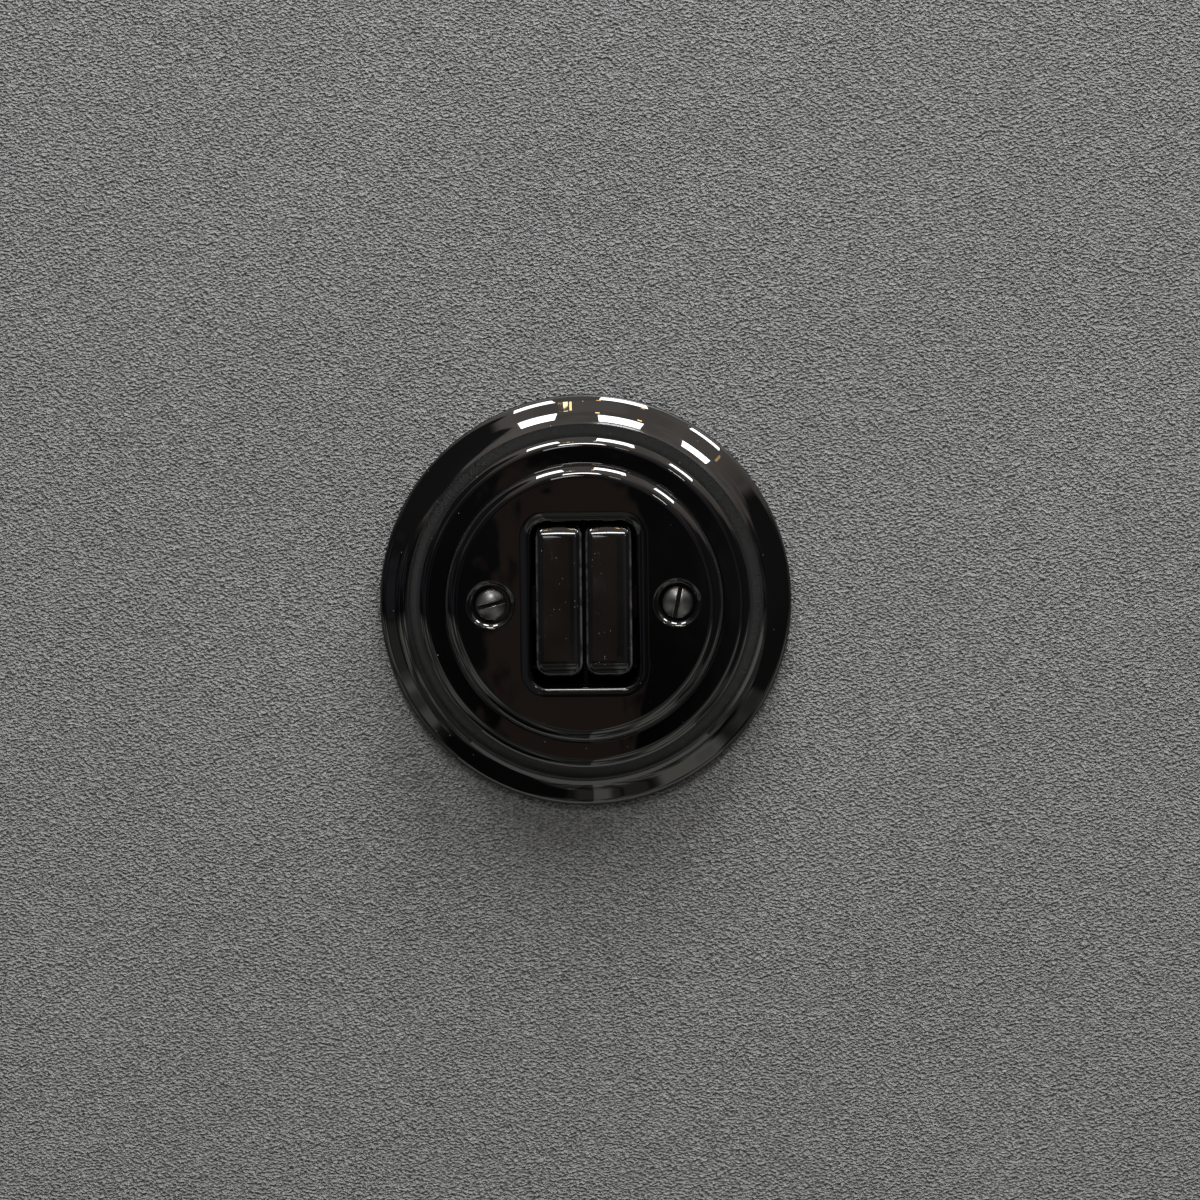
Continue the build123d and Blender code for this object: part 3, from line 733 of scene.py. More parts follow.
def baked(holder: Object, tree: NodeTree, values: dict[str, Any]) -> Mesh:
    """Plain mesh that a geometry node group makes of a working object.

    Args:
        holder: The working object, which is used up.
        tree: The node group.
        values: What its inputs get, by their names.

    Returns:
        The new mesh.
    """
    modifier = holder.modifiers.new(tree.name, "NODES")
    modifier.node_group = tree
    for item in tree.interface.items_tree:
        if item.in_out == "INPUT" and item.name in values:
            modifier[item.identifier] = values[item.name]
    holder.update_tag()
    bpy.context.view_layer.update()
    return evaluated(holder)


def publish(
    name: str, mesh: Mesh, finish: Finish, body: str = ROOT, nodes: Sequence[str] = ()
) -> Object:
    """Show a finished mesh as a piece of the switch.

    Args:
        name: Name of the piece.
        mesh: Its mesh, already in place in the row frame.
        finish: What it is dressed in.
        body: The body that it rides on.
        nodes: The solids that it stands for.

    Returns:
        The object of the piece.
    """
    made = linked(name, mesh)
    mesh.materials.clear()
    mesh.materials.append(finish.material())
    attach(made, body)
    if nodes:
        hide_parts(*nodes)
    LOG.info("%s on %s: %d faces", name, body, len(mesh.polygons))
    return made


def dress(finish: Finish, *nodes: str) -> None:
    """Give a finish to solids that are shown as they are.

    Args:
        finish: What they are dressed in.
        nodes: Names of the solids.
    """
    for node in nodes:
        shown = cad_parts[node]
        shown.data.materials.clear()
        shown.data.materials.append(finish.material())
        LOG.info("%s keeps its solid in %s", node, finish.name)


def softened(node: str, width: float) -> Mesh:
    """Copy of a solid with its edges rounded a little, as moulding and stamping leave them.

    Args:
        node: Name of the solid.
        width: Width of the rounding in millimetres.

    Returns:
        The new mesh.
    """
    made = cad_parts[node].data.copy()
    made.materials.clear()
    work = bmesh.new()
    work.from_mesh(made)
    bmesh.ops.remove_doubles(work, verts=work.verts, dist=WELD)
    bmesh.ops.dissolve_limit(work, angle_limit=math.radians(FLAT_ANGLE), verts=work.verts, edges=work.edges)
    limit = math.radians(EDGE_ANGLE)
    edges = [e for e in work.edges if len(e.link_faces) == 2 and e.calc_face_angle() > limit]
    bmesh.ops.bevel(
        work, geom=edges, offset=width * MM, segments=2, profile=0.5, affect="EDGES", clamp_overlap=False
    )
    work.to_mesh(made)
    work.free()
    made.shade_smooth()
    made.set_sharp_from_angle(angle=math.radians(SHARP_ANGLE))
    holder = linked("work", made)
    weighted = holder.modifiers.new("even shading", "WEIGHTED_NORMAL")
    weighted.keep_sharp = True
    return evaluated(holder)


# ---- porcelain


@dataclass
class PorcelainFrame:
    """Round frame with a rolled rim, a cove, a steep riser and a flat ring."""

    radius: float = 50.0
    height: float = 13.5
    wall: float = 4.0
    foot: float = 3.5
    bore: float = 30.5
    rim_edge: float = 2.2
    rim_start: Point = (49.2, 3.1)
    cove: Point = (44.88, 5.3)
    riser_foot: Point = (42.95, 7.13)
    shoulder: Point = (40.39, 12.1)
    platform: float = 38.6
    hollow: tuple[Point, ...] = ((37.02, 9.5), (41.52, 2.53))
    rounds: tuple[float, ...] = (0.35, 0.8, 4.6, 11.0, 1.5, 5.7, 2.9, 0.5, 0.5, 2.0, 3.0, 0.35)
    bare_height: float = 0.05
    bare_margin: float = 0.2
    riser_margins: Point = (0.2, 0.9)
    rim_margin: float = 0.3
    rim_satin: float = 2.5
    segments: int = 256

    def outline(self) -> list[Point]:
        """Closed (radius, height) outline, glazed side first, then the hollow back.

        Returns:
            Its points in millimetres.
        """
        corners = [
            (self.radius, 0.0),
            (self.radius, self.rim_edge),
            self.rim_start,
            self.cove,
            self.riser_foot,
            self.shoulder,
            (self.platform, self.height),
            (self.bore, self.height),
            (self.bore, self.height - self.wall),
            *self.hollow,
            (self.radius - self.foot, 0.0),
        ]
        return rounded_loop(corners, self.rounds)

    def build(self) -> None:
        """Make the frame and dress it."""
        shell = Shell()
        low = self.riser_foot[1] - self.riser_margins[0]
        high = self.shoulder[1] - self.riser_margins[1]
        rings = [shell.ring(circle(reach, self.segments), height) for reach, height in self.outline()]
        shell.skin([*rings, rings[0]])
        for ring in rings:
            reach, height = shell.points[ring[0]].x, shell.points[ring[0]].z
            if height < self.bare_height and self.radius - self.foot - self.bare_margin < reach:
                shell.mark("bare", ring)
            if low < height < high and self.platform < reach:
                shell.mark("satin", ring)
            elif reach > self.rim_start[0] + self.rim_margin:
                shell.mark("satin", ring, self.rim_satin)
        publish("porcelain_frame", shell.mesh("porcelain_frame"), GLAZE, ROOT, ["outer_frame"])


@dataclass
class PorcelainCover:
    """Round cover with a rounded edge, a lipped opening and two dished screw recesses."""

    radius: float = 34.0
    front: float = 17.4
    seat: float = 13.5
    back: float = 13.2
    end: float = 10.8
    edge_round: float = 3.6
    spigot_outer: float = 30.1
    spigot_inner: float = 26.6
    opening: Point = (12.65, 19.8)
    opening_corner: float = 3.6
    lip_width: float = 2.9
    lip_round: float = 1.25
    lip_slope: float = 8.0
    screw_x: float = 22.5
    recess: float = 4.5
    recess_lip: Point = (1.5, 1.4)
    recess_floor: float = 14.2
    boss: float = 6.3
    hole: float = 2.0
    seat_chamfer: float = 0.12
    end_chamfer: float = 0.25
    back_chamfer: float = 0.3
    segments: int = 256
    recess_segments: int = 96
    edge_steps: int = 20
    recess_steps: int = 16
    bore_steps: tuple[int, int] = (60, 24)

    def lip_line(self, steps: int = 10) -> list[Point]:
        """Distances from the edge and drops of the opening's lip: a shallow dish, then a tight round.

        Args:
            steps: Steps of the dish, and of the round.

        Returns:
            The points, outside first.
        """
        lean = math.radians(self.lip_slope)
        dish = self.lip_width - self.lip_round * (1 - math.sin(lean))
        fall = math.tan(lean) / (2 * dish)
        runs = [dish * k / steps for k in range(steps)]
        line = [(self.lip_width - run, fall * run**2) for run in runs]
        for k in range(steps + 1):
            turn = lean + (math.pi / 2 - lean) * k / steps
            line.append((
                self.lip_round * (1 - math.sin(turn)),
                fall * dish**2 + self.lip_round * (math.cos(lean) - math.cos(turn)),
            ))
        return line

    def bore_outline(self) -> list[Point]:
        """Outline of the hollow behind the cover: the spigot's bore less the two screw bosses.

        Returns:
            Its points in millimetres.
        """
        cross = (self.screw_x**2 + self.spigot_inner**2 - self.boss**2) / (2 * self.screw_x)
        side = math.sqrt(self.spigot_inner**2 - cross**2)
        start = math.atan2(side, cross)
        swing = math.atan2(side, cross - self.screw_x)
        points: list[Point] = []
        arc, boss_arc = self.bore_steps
        for flip in (1, -1):
            for k in range(arc + 1):
                turn = start + (math.pi - 2 * start) * k / arc
                points.append((
                    flip * self.spigot_inner * math.cos(turn),
                    flip * self.spigot_inner * math.sin(turn),
                ))
            for k in range(1, boss_arc):
                turn = math.pi - swing - (2 * math.pi - 2 * swing) * k / boss_arc
                points.append((
                    flip * (-self.screw_x + self.boss * math.cos(turn)),
                    flip * self.boss * math.sin(turn),
                ))
        return points

    def rim(self, shell: Shell) -> list[list[int]]:
        """Add the rings from the front face round the edge and the seat to the spigot's end.

        Args:
            shell: Mesh that gets the rings.

        Returns:
            The rings, from the front.
        """
        edge = [(self.radius - self.edge_round - HOLD, self.front)]
        bend = quarter(self.edge_round, self.edge_round, self.edge_steps)
        edge += [(self.radius - inset, self.front - drop) for inset, drop in bend]
        edge += [
            (self.radius, self.seat + self.seat_chamfer),
            (self.radius - self.seat_chamfer, self.seat),
            (self.spigot_outer, self.seat),
            (self.spigot_outer, self.end + self.end_chamfer),
            (self.spigot_outer - self.end_chamfer, self.end),
        ]
        return shell.tube((circle(radius, self.segments), level) for radius, level in edge)

    def mouth(self, shell: Shell) -> list[list[int]]:
        """Add the rings from the front face over the lip and through the opening to the back.

        Args:
            shell: Mesh that gets the rings.

        Returns:
            The rings, from the front.
        """
        steps = [(self.lip_width + HOLD, self.front)]
        steps += [(out, self.front - drop) for out, drop in self.lip_line()]
        steps += [(0.0, self.back + self.back_chamfer), (self.back_chamfer, self.back)]
        half_x, half_z = self.opening
        return shell.tube(
            (rounded_rectangle(half_x + out, half_z + out, self.opening_corner + out), level)
            for out, level in steps
        )

    def dish(self, shell: Shell, centre: Point) -> list[list[int]]:
        """Add the rings from the front face down one recess and through its screw hole.

        Args:
            shell: Mesh that gets the rings.
            centre: Middle of the recess.

        Returns:
            The rings, from the front.
        """
        steps = [(self.recess + self.recess_lip[0] + HOLD, self.front)]
        bend = quarter(*self.recess_lip, self.recess_steps)
        steps += [(self.recess + out, self.front - drop) for out, drop in bend]
        steps += [(self.recess, self.recess_floor), (self.hole, self.recess_floor), (self.hole, self.end)]
        return shell.tube((circle(radius, self.recess_segments, centre), level) for radius, level in steps)

    def build(self) -> None:
        """Make the cover and dress it."""
        shell = Shell()
        rim, mouth = self.rim(shell), self.mouth(shell)
        dishes = [self.dish(shell, (x, 0.0)) for x in (-self.screw_x, self.screw_x)]
        holes = [dish[-1] for dish in dishes]
        bore = self.bore_outline()
        bore_top, bore_end = shell.ring(bore, self.back), shell.ring(bore, self.end)
        shell.bridge(bore_top, bore_end)
        shell.fill(rim[0], [mouth[0], *(dish[0] for dish in dishes)])
        shell.fill(bore_top, [mouth[-1]])
        shell.fill(rim[-1], [bore_end, *holes])
        shell.mark("bare", [*rim[-1], *bore_end, *holes[0], *holes[1]])
        publish("porcelain_cover", shell.mesh("porcelain_cover"), GLAZE, ROOT, ["cover_plate"])


# ---- rockers


@dataclass
class Rocker:
    """One rocker: key, carrier, plunger with its spring, and the contact lever it tips."""

    side: Side
    pitch: float = 12.0
    pivot: float = 7.0
    tilt: float = 6.5
    width: float = 11.4
    length: float = 36.8
    face: float = 11.6
    skirt: float = 5.0
    roof: float = 2.0
    wall: float = 1.3
    end_wall: float = 1.8
    end_round: float = 5.4
    end_run: float = 3.6
    end_bow: float = 0.011
    side_round: float = 1.7
    corner: float = 3.2
    crown: float = 164.0
    softness: float = 2.6
    chamfer: float = 0.2
    cavity_corner: float = 0.6
    cavity_arc: int = 5
    side_grid: tuple[int, int] = (9, 8)
    end_grid: tuple[int, int] = (26, 14)
    sharp: float = 42.0
    edge_wear: tuple[tuple[int, float], ...] = ((3, 0.35), (4, 0.85), (5, 0.25))
    carrier_edge: float = 0.18
    nose_seat: float = 5.6
    push_seat: Point = (-0.6, -12.4)

    @property
    def x(self) -> float:
        """Distance of the rocker's middle from the middle of the switch."""
        return self.side.value * self.pitch / 2

    @property
    def centre(self) -> Vector:
        """Point of the axle that the rocker turns about, in millimetres."""
        return Vector((self.x, -self.pivot, 0.0))

    @property
    def out(self) -> Vector:
        """Direction in which the key's face looks at rest."""
        lean = math.radians(self.tilt)
        return Vector((0.0, -math.cos(lean), math.sin(lean)))

    def placing(self) -> Matrix:
        """Matrix from the rocker's own axes (across, along, out) to the row frame.

        Returns:
            The matrix, in metres.
        """
        across = Vector((1.0, 0.0, 0.0))
        turn = Matrix((across, self.out.cross(across), self.out)).transposed()
        return Matrix.Translation(self.centre * MM) @ turn.to_4x4()

    @staticmethod
    def stations(half: float, rounding: float, arc: int, inner: int) -> list[float]:
        """Grid lines from edge to edge, close together in the rounded margins.

        Args:
            half: Half of the whole length.
            rounding: Width of a rounded margin.
            arc: Steps in a margin.
            inner: Steps from the middle to a margin.

        Returns:
            The lines' places in order.
        """
        margin = [half - rounding * (1 - math.sin(math.pi / 2 * k / arc)) for k in range(arc + 1)]
        flat = [(half - rounding) * k / inner for k in range(inner)]
        right = flat + margin
        return [-v for v in reversed(right[1:])] + right

    def plan(self, x: float, y: float) -> Point:
        """Grid point moved so that the four corners of the plan are round.

        Args:
            x: Place across.
            y: Place along.

        Returns:
            The moved point.
        """
        core_x, core_y = self.width / 2 - self.corner, self.length / 2 - self.corner
        s, t = (abs(x) - core_x) / self.corner, (abs(y) - core_y) / self.corner
        if s <= 0.0 or t <= 0.0:
            return x, y
        s, t = s * math.sqrt(1 - t * t / 2), t * math.sqrt(1 - s * s / 2)
        return math.copysign(core_x + self.corner * s, x), math.copysign(core_y + self.corner * t, y)

    def level(self, x: float, y: float) -> float:
        """Height of the key's outer face over a point of its plan.

        Args:
            x: Place across.
            y: Place along.

        Returns:
            The height in millimetres.
        """
        core_x, core_y = self.width / 2 - self.corner, self.length / 2 - self.corner
        s, t = max(abs(x) - core_x, 0.0), max(abs(y) - core_y, 0.0)
        straight = min(self.width / 2 - abs(x), self.length / 2 - abs(y))
        margin = max(self.corner - math.hypot(s, t) if s and t else straight, 0.0)
        bend = min(max(self.side_round - margin, 0.0), self.side_round)
        side = self.side_round - math.sqrt(self.side_round**2 - bend**2)
        share = max(abs(y) / self.end_run - self.length / 2 / self.end_run + 1, 0.0)
        bow = self.end_bow * x * x * share if y > 0.0 else 0.0
        bend = self.end_run * min(share * (1 + bow), 1.0)
        end = self.end_round - math.sqrt(self.end_round**2 - bend**2)
        drop = (side**self.softness + end**self.softness) ** (1 / self.softness)
        return self.face - drop - x * x / (2 * self.crown)

    def key_mesh(self) -> Mesh:
        """Hollow cap: crowned face, rounded ends and sides, a skirt and the cavity.

        Returns:
            The mesh in the row frame.
        """
        shell = Shell(self.placing())
        columns = self.stations(self.width / 2, self.side_round, *self.side_grid)
        grid: list[list[int]] = []
        for y in self.stations(self.length / 2, self.end_run, *self.end_grid):
            spots = [self.plan(x, y) for x in columns]
            grid.append(shell.row(Vector((*spot, self.level(*spot))) for spot in spots))
        shell.skin(grid, closed=False)
        # Columns near the sides get the edge mark: partly wear, partly a painted highlight.
        for step, value in self.edge_wear:
            for line in grid:
                shell.mark("wear", (line[step], line[-1 - step]), value)
        border = grid[0][:-1] + [line[-1] for line in grid[:-1]]
        border += grid[-1][:0:-1] + [line[0] for line in grid[:0:-1]]
        outline = [tuple(shell.points[i].xy) for i in border]
        foot = shell.ring(outline, self.skirt + self.chamfer)
        shell.bridge(border, foot)
        half_x, half_y = self.width / 2, self.length / 2
        narrow, short = 1 - self.chamfer / half_x, 1 - self.chamfer / half_y
        rim = shell.ring([(x * narrow, y * short) for x, y in outline], self.skirt)
        shell.bridge(foot, rim)
        hollow = rounded_rectangle(
            half_x - self.wall, half_y - self.end_wall, self.cavity_corner, self.cavity_arc
        )
        mouth = shell.ring(hollow, self.skirt)
        ceiling = shell.ring(hollow, self.face - self.roof)
        shell.bridge(mouth, ceiling)
        shell.fill(rim, [mouth])
        shell.fill(ceiling)
        return shell.mesh(f"{self.side.word}_key", self.sharp)

    def build(self) -> None:
        """Make the rocker's own shapes and dress the solids that stay."""
        word = self.side.word
        body = f"{word}_rocker"
        publish(f"{word}_key", self.key_mesh(), KEY_POLISH, body, [f"{word}_rocker_key"])
        carrier = softened(f"{word}_cradle", self.carrier_edge)
        publish(f"{word}_carrier", carrier, BLACK_NYLON, body, [f"{word}_cradle"])
        seat = self.centre - self.out * self.nose_seat
        inner = Coil(diameter=2.77, wire=0.35, turns=5, length=3.4, base=seat, direction=self.out)
        publish(f"{word}_nose_spring", inner.mesh(), SPRING_WIRE, body, [f"{word}_plunger_spring"])
        base, away = Vector((self.x, *self.push_seat)), Vector((0.0, -1.0, 0.0))
        outer = Coil(diameter=3.7, wire=0.45, turns=6, length=10.45, base=base, direction=away)
        spring = publish(f"{word}_push_spring", outer.mesh(), SPRING_WIRE, ROOT, [f"{word}_return_spring"])
        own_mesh(spring)
        dress(WHITE_NYLON, f"{word}_plunger")
        dress(BRASS, f"{word}_contact_lever")
        dress(SILVER, f"{word}_lever_tips")


# ---- springs, screws


@dataclass
class Coil:
    """Round-wire compression spring that rises from a base point along a direction."""

    diameter: float
    wire: float
    turns: int
    length: float
    base: Vector
    direction: Vector

    TREE = "spring coil"
    TURN_STEPS = 40
    WIRE_STEPS = 12
    SHARP = 60.0
    INPUTS = (
        ("Turns", "NodeSocketFloat"),
        ("Coil Radius", "NodeSocketFloat"),
        ("Rise", "NodeSocketFloat"),
        ("Wire Radius", "NodeSocketFloat"),
        ("Place", "NodeSocketVector"),
        ("Lean", "NodeSocketVector"),
    )

    @classmethod
    @cache
    def tree(cls) -> NodeTree:
        """Geometry nodes that sweep a round wire along a spiral, made once.

        Returns:
            The node group.
        """
        graph = node_group(cls.TREE, cls.INPUTS)
        given = graph.node("NodeGroupInput").outputs
        spiral = graph.node("GeometryNodeCurveSpiral", {
            "Resolution": cls.TURN_STEPS, "Rotations": given["Turns"], "Start Radius": given["Coil Radius"],
            "End Radius": given["Coil Radius"], "Height": given["Rise"],
        })
        round_wire = graph.node("GeometryNodeCurvePrimitiveCircle", {
            "Resolution": cls.WIRE_STEPS, "Radius": given["Wire Radius"],
        })
        swept = graph.node("GeometryNodeCurveToMesh", {
            "Curve": spiral.outputs[0], "Profile Curve": round_wire.outputs[0], "Fill Caps": True,
        })
        placed = graph.node("GeometryNodeTransform", {
            "Geometry": swept.outputs[0], "Translation": given["Place"], "Rotation": given["Lean"],
        })
        graph.result(placed.outputs[0], SPRING_WIRE.material())
        return graph.tree

    def mesh(self) -> Mesh:
        """Plain mesh of the spring in the row frame.

        Returns:
            The mesh.
        """
        start = (self.base + self.direction * (self.wire / 2)) * MM
        lean = self.direction.to_track_quat("Z", "Y").to_euler("XYZ")
        made = baked(linked("work", bpy.data.meshes.new("spring")), self.tree(), {
            "Turns": float(self.turns),
            "Coil Radius": self.diameter / 2 * MM,
            "Rise": (self.length - self.wire) * MM,
            "Wire Radius": self.wire / 2 * MM,
            "Place": tuple(start),
            "Lean": tuple(lean),
        })
        settle(made, self.SHARP)
        return made


@dataclass
class Screw:
    """Slotted machine screw: its head stands on z = 0 and its thread runs down from there."""

    form: HeadForm
    head: float
    head_height: float
    dome: float
    slot: float
    slot_depth: float
    thread: float
    length: float
    bevel: float = 0.07
    thread_pitch: float = 0.6

    TREE = "screws on points"
    INPUTS = (
        ("Geometry", "NodeSocketGeometry"),
        ("Screw", "NodeSocketObject"),
        ("Size", "NodeSocketFloat"),
        ("Finish", "NodeSocketMaterial"),
    )
    CHORD_STEPS = 28
    SIDE_STEPS = 14
    AROUND = 28
    PITCH_STEPS = 8
    SHARP = 38.0
    SLOT_FILLET = (0.02, 0.05)  # across and up, at the foot of the slot's walls
    FLOOR_LIMIT = 0.04  # height over the slot's floor below which its points lie flat
    EDGE_DEPTH = 0.08  # height of the worn upper and the chamfered lower edge of the head
    SEAT_SHARE = 0.975  # width of the head's underside as a share of the head
    FLAT_EDGE = (0.88, 9.0)  # share of the radius where a flat head's edge starts, and how fast it falls
    THREAD_CUT = 0.12  # depth of the thread as a share of its diameter
    RUN_OUT = 0.6  # millimetres over which the thread fades out below the head
    POINT = (0.72, 0.5)  # share of the radius at the tip, and length of the tapered tip

    def columns(self) -> list[Point]:
        """Across the head: distance from the slot's middle, and depth below the top, 0 or below.

        Returns:
            The columns, from side to side.
        """
        half, wall, deep = self.slot / 2, self.bevel, self.slot_depth
        inset, rise = self.SLOT_FILLET
        land = self.head / 2 - half - wall
        side = [half + wall + land * k / self.SIDE_STEPS for k in range(self.SIDE_STEPS + 1)]
        right = [(0.0, -deep), (half - inset, -deep), (half, -deep + rise)]
        right += [(half, -wall), (half + wall * 0.3, -wall * 0.3)] + [(v, 0.0) for v in side]
        return [(-a, b) for a, b in reversed(right[1:])] + right

    def top(self, x: float, y: float) -> float:
        """Height of the head without its slot.

        Args:
            x: Place across the slot.
            y: Place along the slot.

        Returns:
            The height over the seat.
        """
        reach = min(math.hypot(x, y) / (self.head / 2), 1.0)
        if self.form is HeadForm.DOMED:
            big = ((self.head / 2) ** 2 + self.dome**2) / (2 * self.dome)
            return self.head_height - big + math.sqrt(big**2 - (reach * self.head / 2) ** 2)
        start, fall = self.FLAT_EDGE
        return self.head_height - max(0.0, reach - start) ** 2 * fall * self.dome

    def add_head(self, shell: Shell) -> list[int]:
        """Add the slotted head and return the ring of its underside.

        Args:
            shell: Mesh that gets the head.

        Returns:
            Numbers of the ring's points.
        """
        count = self.CHORD_STEPS
        chords = [math.sin(math.pi / 2 * (2 * k / count - 1)) for k in range(count + 1)]
        floor = -self.slot_depth + self.FLOOR_LIMIT
        grid: list[list[int]] = []
        for x, drop in self.columns():
            reach = math.sqrt(max((self.head / 2) ** 2 - x**2, 0.0))
            spots = [(x, share * reach) for share in chords]
            tops = [self.top(*spot) if drop > floor else self.head_height for spot in spots]
            line = shell.row(Vector((*spot, top + drop)) for spot, top in zip(spots, tops))
            grid.append(line)
            if -self.EDGE_DEPTH < drop < 0.0:
                shell.mark("wear", line)
            # Points deeper in the slot than the edge get the painted shade mark.
            shell.mark("grime", line, 1.0 if drop < -self.EDGE_DEPTH else 0.0)
        shell.skin(grid, closed=False)
        border = [line[0] for line in grid] + [line[-1] for line in reversed(grid)]
        outline = [tuple(shell.points[i].xy) for i in border]
        low = shell.ring(outline, self.EDGE_DEPTH)
        seat = shell.ring([(x * self.SEAT_SHARE, y * self.SEAT_SHARE) for x, y in outline], 0.0)
        shell.skin([border, low, seat])
        return seat

    def add_thread(self, shell: Shell) -> list[list[int]]:
        """Add the helical thread and return its rings, the one under the head first.

        Args:
            shell: Mesh that gets the rings.

        Returns:
            The rings.
        """
        count = int(self.length / self.thread_pitch * self.PITCH_STEPS)
        share, run = self.POINT
        steps = []
        for k in range(count + 1):
            level = -self.length * k / count
            taper = min(1.0, share + (1 - share) * (self.length + level) / run)
            ring = []
            for n in range(self.AROUND):
                turn = 2 * math.pi * n / self.AROUND
                wave = abs(((-level / self.thread_pitch - n / self.AROUND) % 1.0) * 2 - 1)
                depth = max(0.0, min(1.0, wave * 1.5 - 0.25)) * min(1.0, -level / self.RUN_OUT)
                reach = (self.thread / 2 - self.THREAD_CUT * self.thread * depth) * taper
                ring.append((reach * math.cos(turn), reach * math.sin(turn)))
            steps.append((ring, level))
        return shell.tube(steps)

    def mesh(self) -> Mesh:
        """Head with its slot, underside and helical thread as one closed mesh.

        Returns:
            The mesh in metres.
        """
        shell = Shell(Matrix.Identity(4))
        seat, rings = self.add_head(shell), self.add_thread(shell)
        shell.fill(rings[-1])
        shell.fill(seat, [rings[0]])
        return shell.mesh("screw", self.SHARP)

    @classmethod
    @cache
    def tree(cls) -> NodeTree:
        """Geometry nodes that put one screw on every point, turned as the point says, made once.

        Returns:
            The node group.
        """
        graph = node_group(cls.TREE, cls.INPUTS)
        given = graph.node("NodeGroupInput").outputs
        part = graph.node("GeometryNodeObjectInfo", {"Object": given["Screw"]})
        turn = graph.node("GeometryNodeInputNamedAttribute", {"Name": "turn"}, data_type="FLOAT_VECTOR")
        spin = graph.node("FunctionNodeEulerToRotation", {0: turn.outputs["Attribute"]})
        copies = graph.node("GeometryNodeInstanceOnPoints", {
            "Points": given["Geometry"], "Instance": part.outputs["Geometry"],
            "Rotation": spin.outputs[0], "Scale": given["Size"],
        })
        graph.result(copies.outputs[0], given["Finish"])
        return graph.tree

    def set_of(self, name: str, seats: Sequence[tuple[Vector, Matrix]], finish: Finish, node: str) -> None:
        """Put a screw on every seat and show them as one piece.

        Args:
            name: Name of the piece.
            seats: Place in millimetres and turning of each screw.
            finish: What the screws are dressed in.
            node: The solid that they stand for.
        """
        template = linked("work", self.mesh())
        points = bpy.data.meshes.new("seats")
        points.from_pydata([tuple(place * MM) for place, _ in seats], [], [])
        turn = points.attributes.new("turn", "FLOAT_VECTOR", "POINT")
        for item, (_, matrix) in zip(turn.data, seats):
            item.vector = tuple(matrix.to_euler("XYZ"))
        values = {"Screw": template, "Size": 1.0, "Finish": finish.material()}
        made = baked(linked("work", points), self.tree(), values)
        bpy.data.objects.remove(template)
        publish(name, made, finish, ROOT, [node])


@dataclass
class ScrewFittings:
    """All screws of the switch, each set at its seats."""

    cover_pitch: float = 45.0
    cover_seat: float = 14.2
    cover_angles: Point = (14.0, 78.0)
    corner: Point = (15.5, 22.15)
    flange_top: float = 2.6
    terminal_x: float = 6.0
    terminal_depth: float = 17.0
    terminal_seat: float = 23.1
    rear: float = 26.2

    @staticmethod
    def flat(head: float, thread: float, length: float, pitch: float) -> Screw:
        """Small screw with a flat head.

        Args:
            head: Diameter of the head.
            thread: Diameter of the thread.
            length: Length below the head.
            pitch: Pitch of the thread.

        Returns:
            The screw.
        """
        return Screw(
            HeadForm.FLAT, head, head_height=1.5, dome=0.4, slot=0.7, slot_depth=0.7,
            thread=thread, length=length, bevel=0.05, thread_pitch=pitch,
        )

    @staticmethod
    def turned(facing: Facing, spin: float = 90.0) -> Matrix:
        """Turning of a screw whose head looks one way, with its slot spun by an angle in degrees."""
        lean = Matrix.Rotation(math.radians(facing.value), 3, "X")
        return lean @ Matrix.Rotation(math.radians(spin), 3, "Z")

    def build(self) -> None:
        """Make all four sets."""
        half = self.cover_pitch / 2
        domed = Screw(
            HeadForm.DOMED, head=7.5, head_height=2.7, dome=1.1, slot=1.0, slot_depth=0.9,
            thread=3.5, length=16.0,
        )
        seats = [
            (Vector((x, -self.cover_seat, 0.0)), self.turned(Facing.FRONT, angle - 90.0))
            for x, angle in zip((-half, half), self.cover_angles)
        ]
        domed.set_of("cover_screw_pair", seats, BLACKENED, "cover_screws")
        seats = [
            (Vector((sx * self.corner[0], -self.flange_top, sz * self.corner[1])), self.turned(Facing.FRONT))
            for sx in (-1, 1) for sz in (-1, 1)
        ]
        small = self.flat(head=4.2, thread=2.4, length=9.0, pitch=0.45)
        small.set_of("housing_screws", seats, ZINC, "assembly_screws")
        seats = [
            (
                Vector((sx * self.terminal_x, self.terminal_depth, end * self.terminal_seat)),
                self.turned(Facing.UP if end > 0 else Facing.DOWN),
            )
            for sx in (-1, 1) for end in (-1, 1)
        ]
        clamp = self.flat(head=5.0, thread=3.0, length=3.4, pitch=0.5)
        clamp.set_of("clamp_screws", seats, ZINC, "terminal_screws")
        seats = [(Vector((0.0, self.rear, 0.0)), self.turned(Facing.BACK))]
        rear = self.flat(head=5.6, thread=3.0, length=9.0, pitch=0.5)
        rear.set_of("back_screw", seats, ZINC, "rear_cover_screw")


# ---- the insert


@dataclass
class Insert:
    """What sits in the wall box: support plate, housing, base, rear cover, strips and terminals."""

    plate_edge: float = 0.14
    housing_edge: float = 0.2
    moulding_edge: float = 0.3

    def build(self) -> None:
        """Round the edges of the solids that show, and dress the rest as they are."""
        for name, node, edge, finish in (
            ("support_plate", "mounting_plate", self.plate_edge, ZINC),
            ("housing", "rocker_housing", self.housing_edge, PHENOLIC),
            ("base", "switch_base", self.moulding_edge, GREY_MOULDING),
            ("back_cover", "rear_cover", self.moulding_edge, GREY_MOULDING),
        ):
            publish(name, softened(node, edge), finish, ROOT, [node])
        dress(GROUND_STEEL, "pivot_axle")
        dress(ZINC, "terminal_clamps")
        dress(BRASS, "feed_strip", "link_strip", "up_strip", "down_strip")
        dress(SILVER, "fixed_tips")


# ---- studio


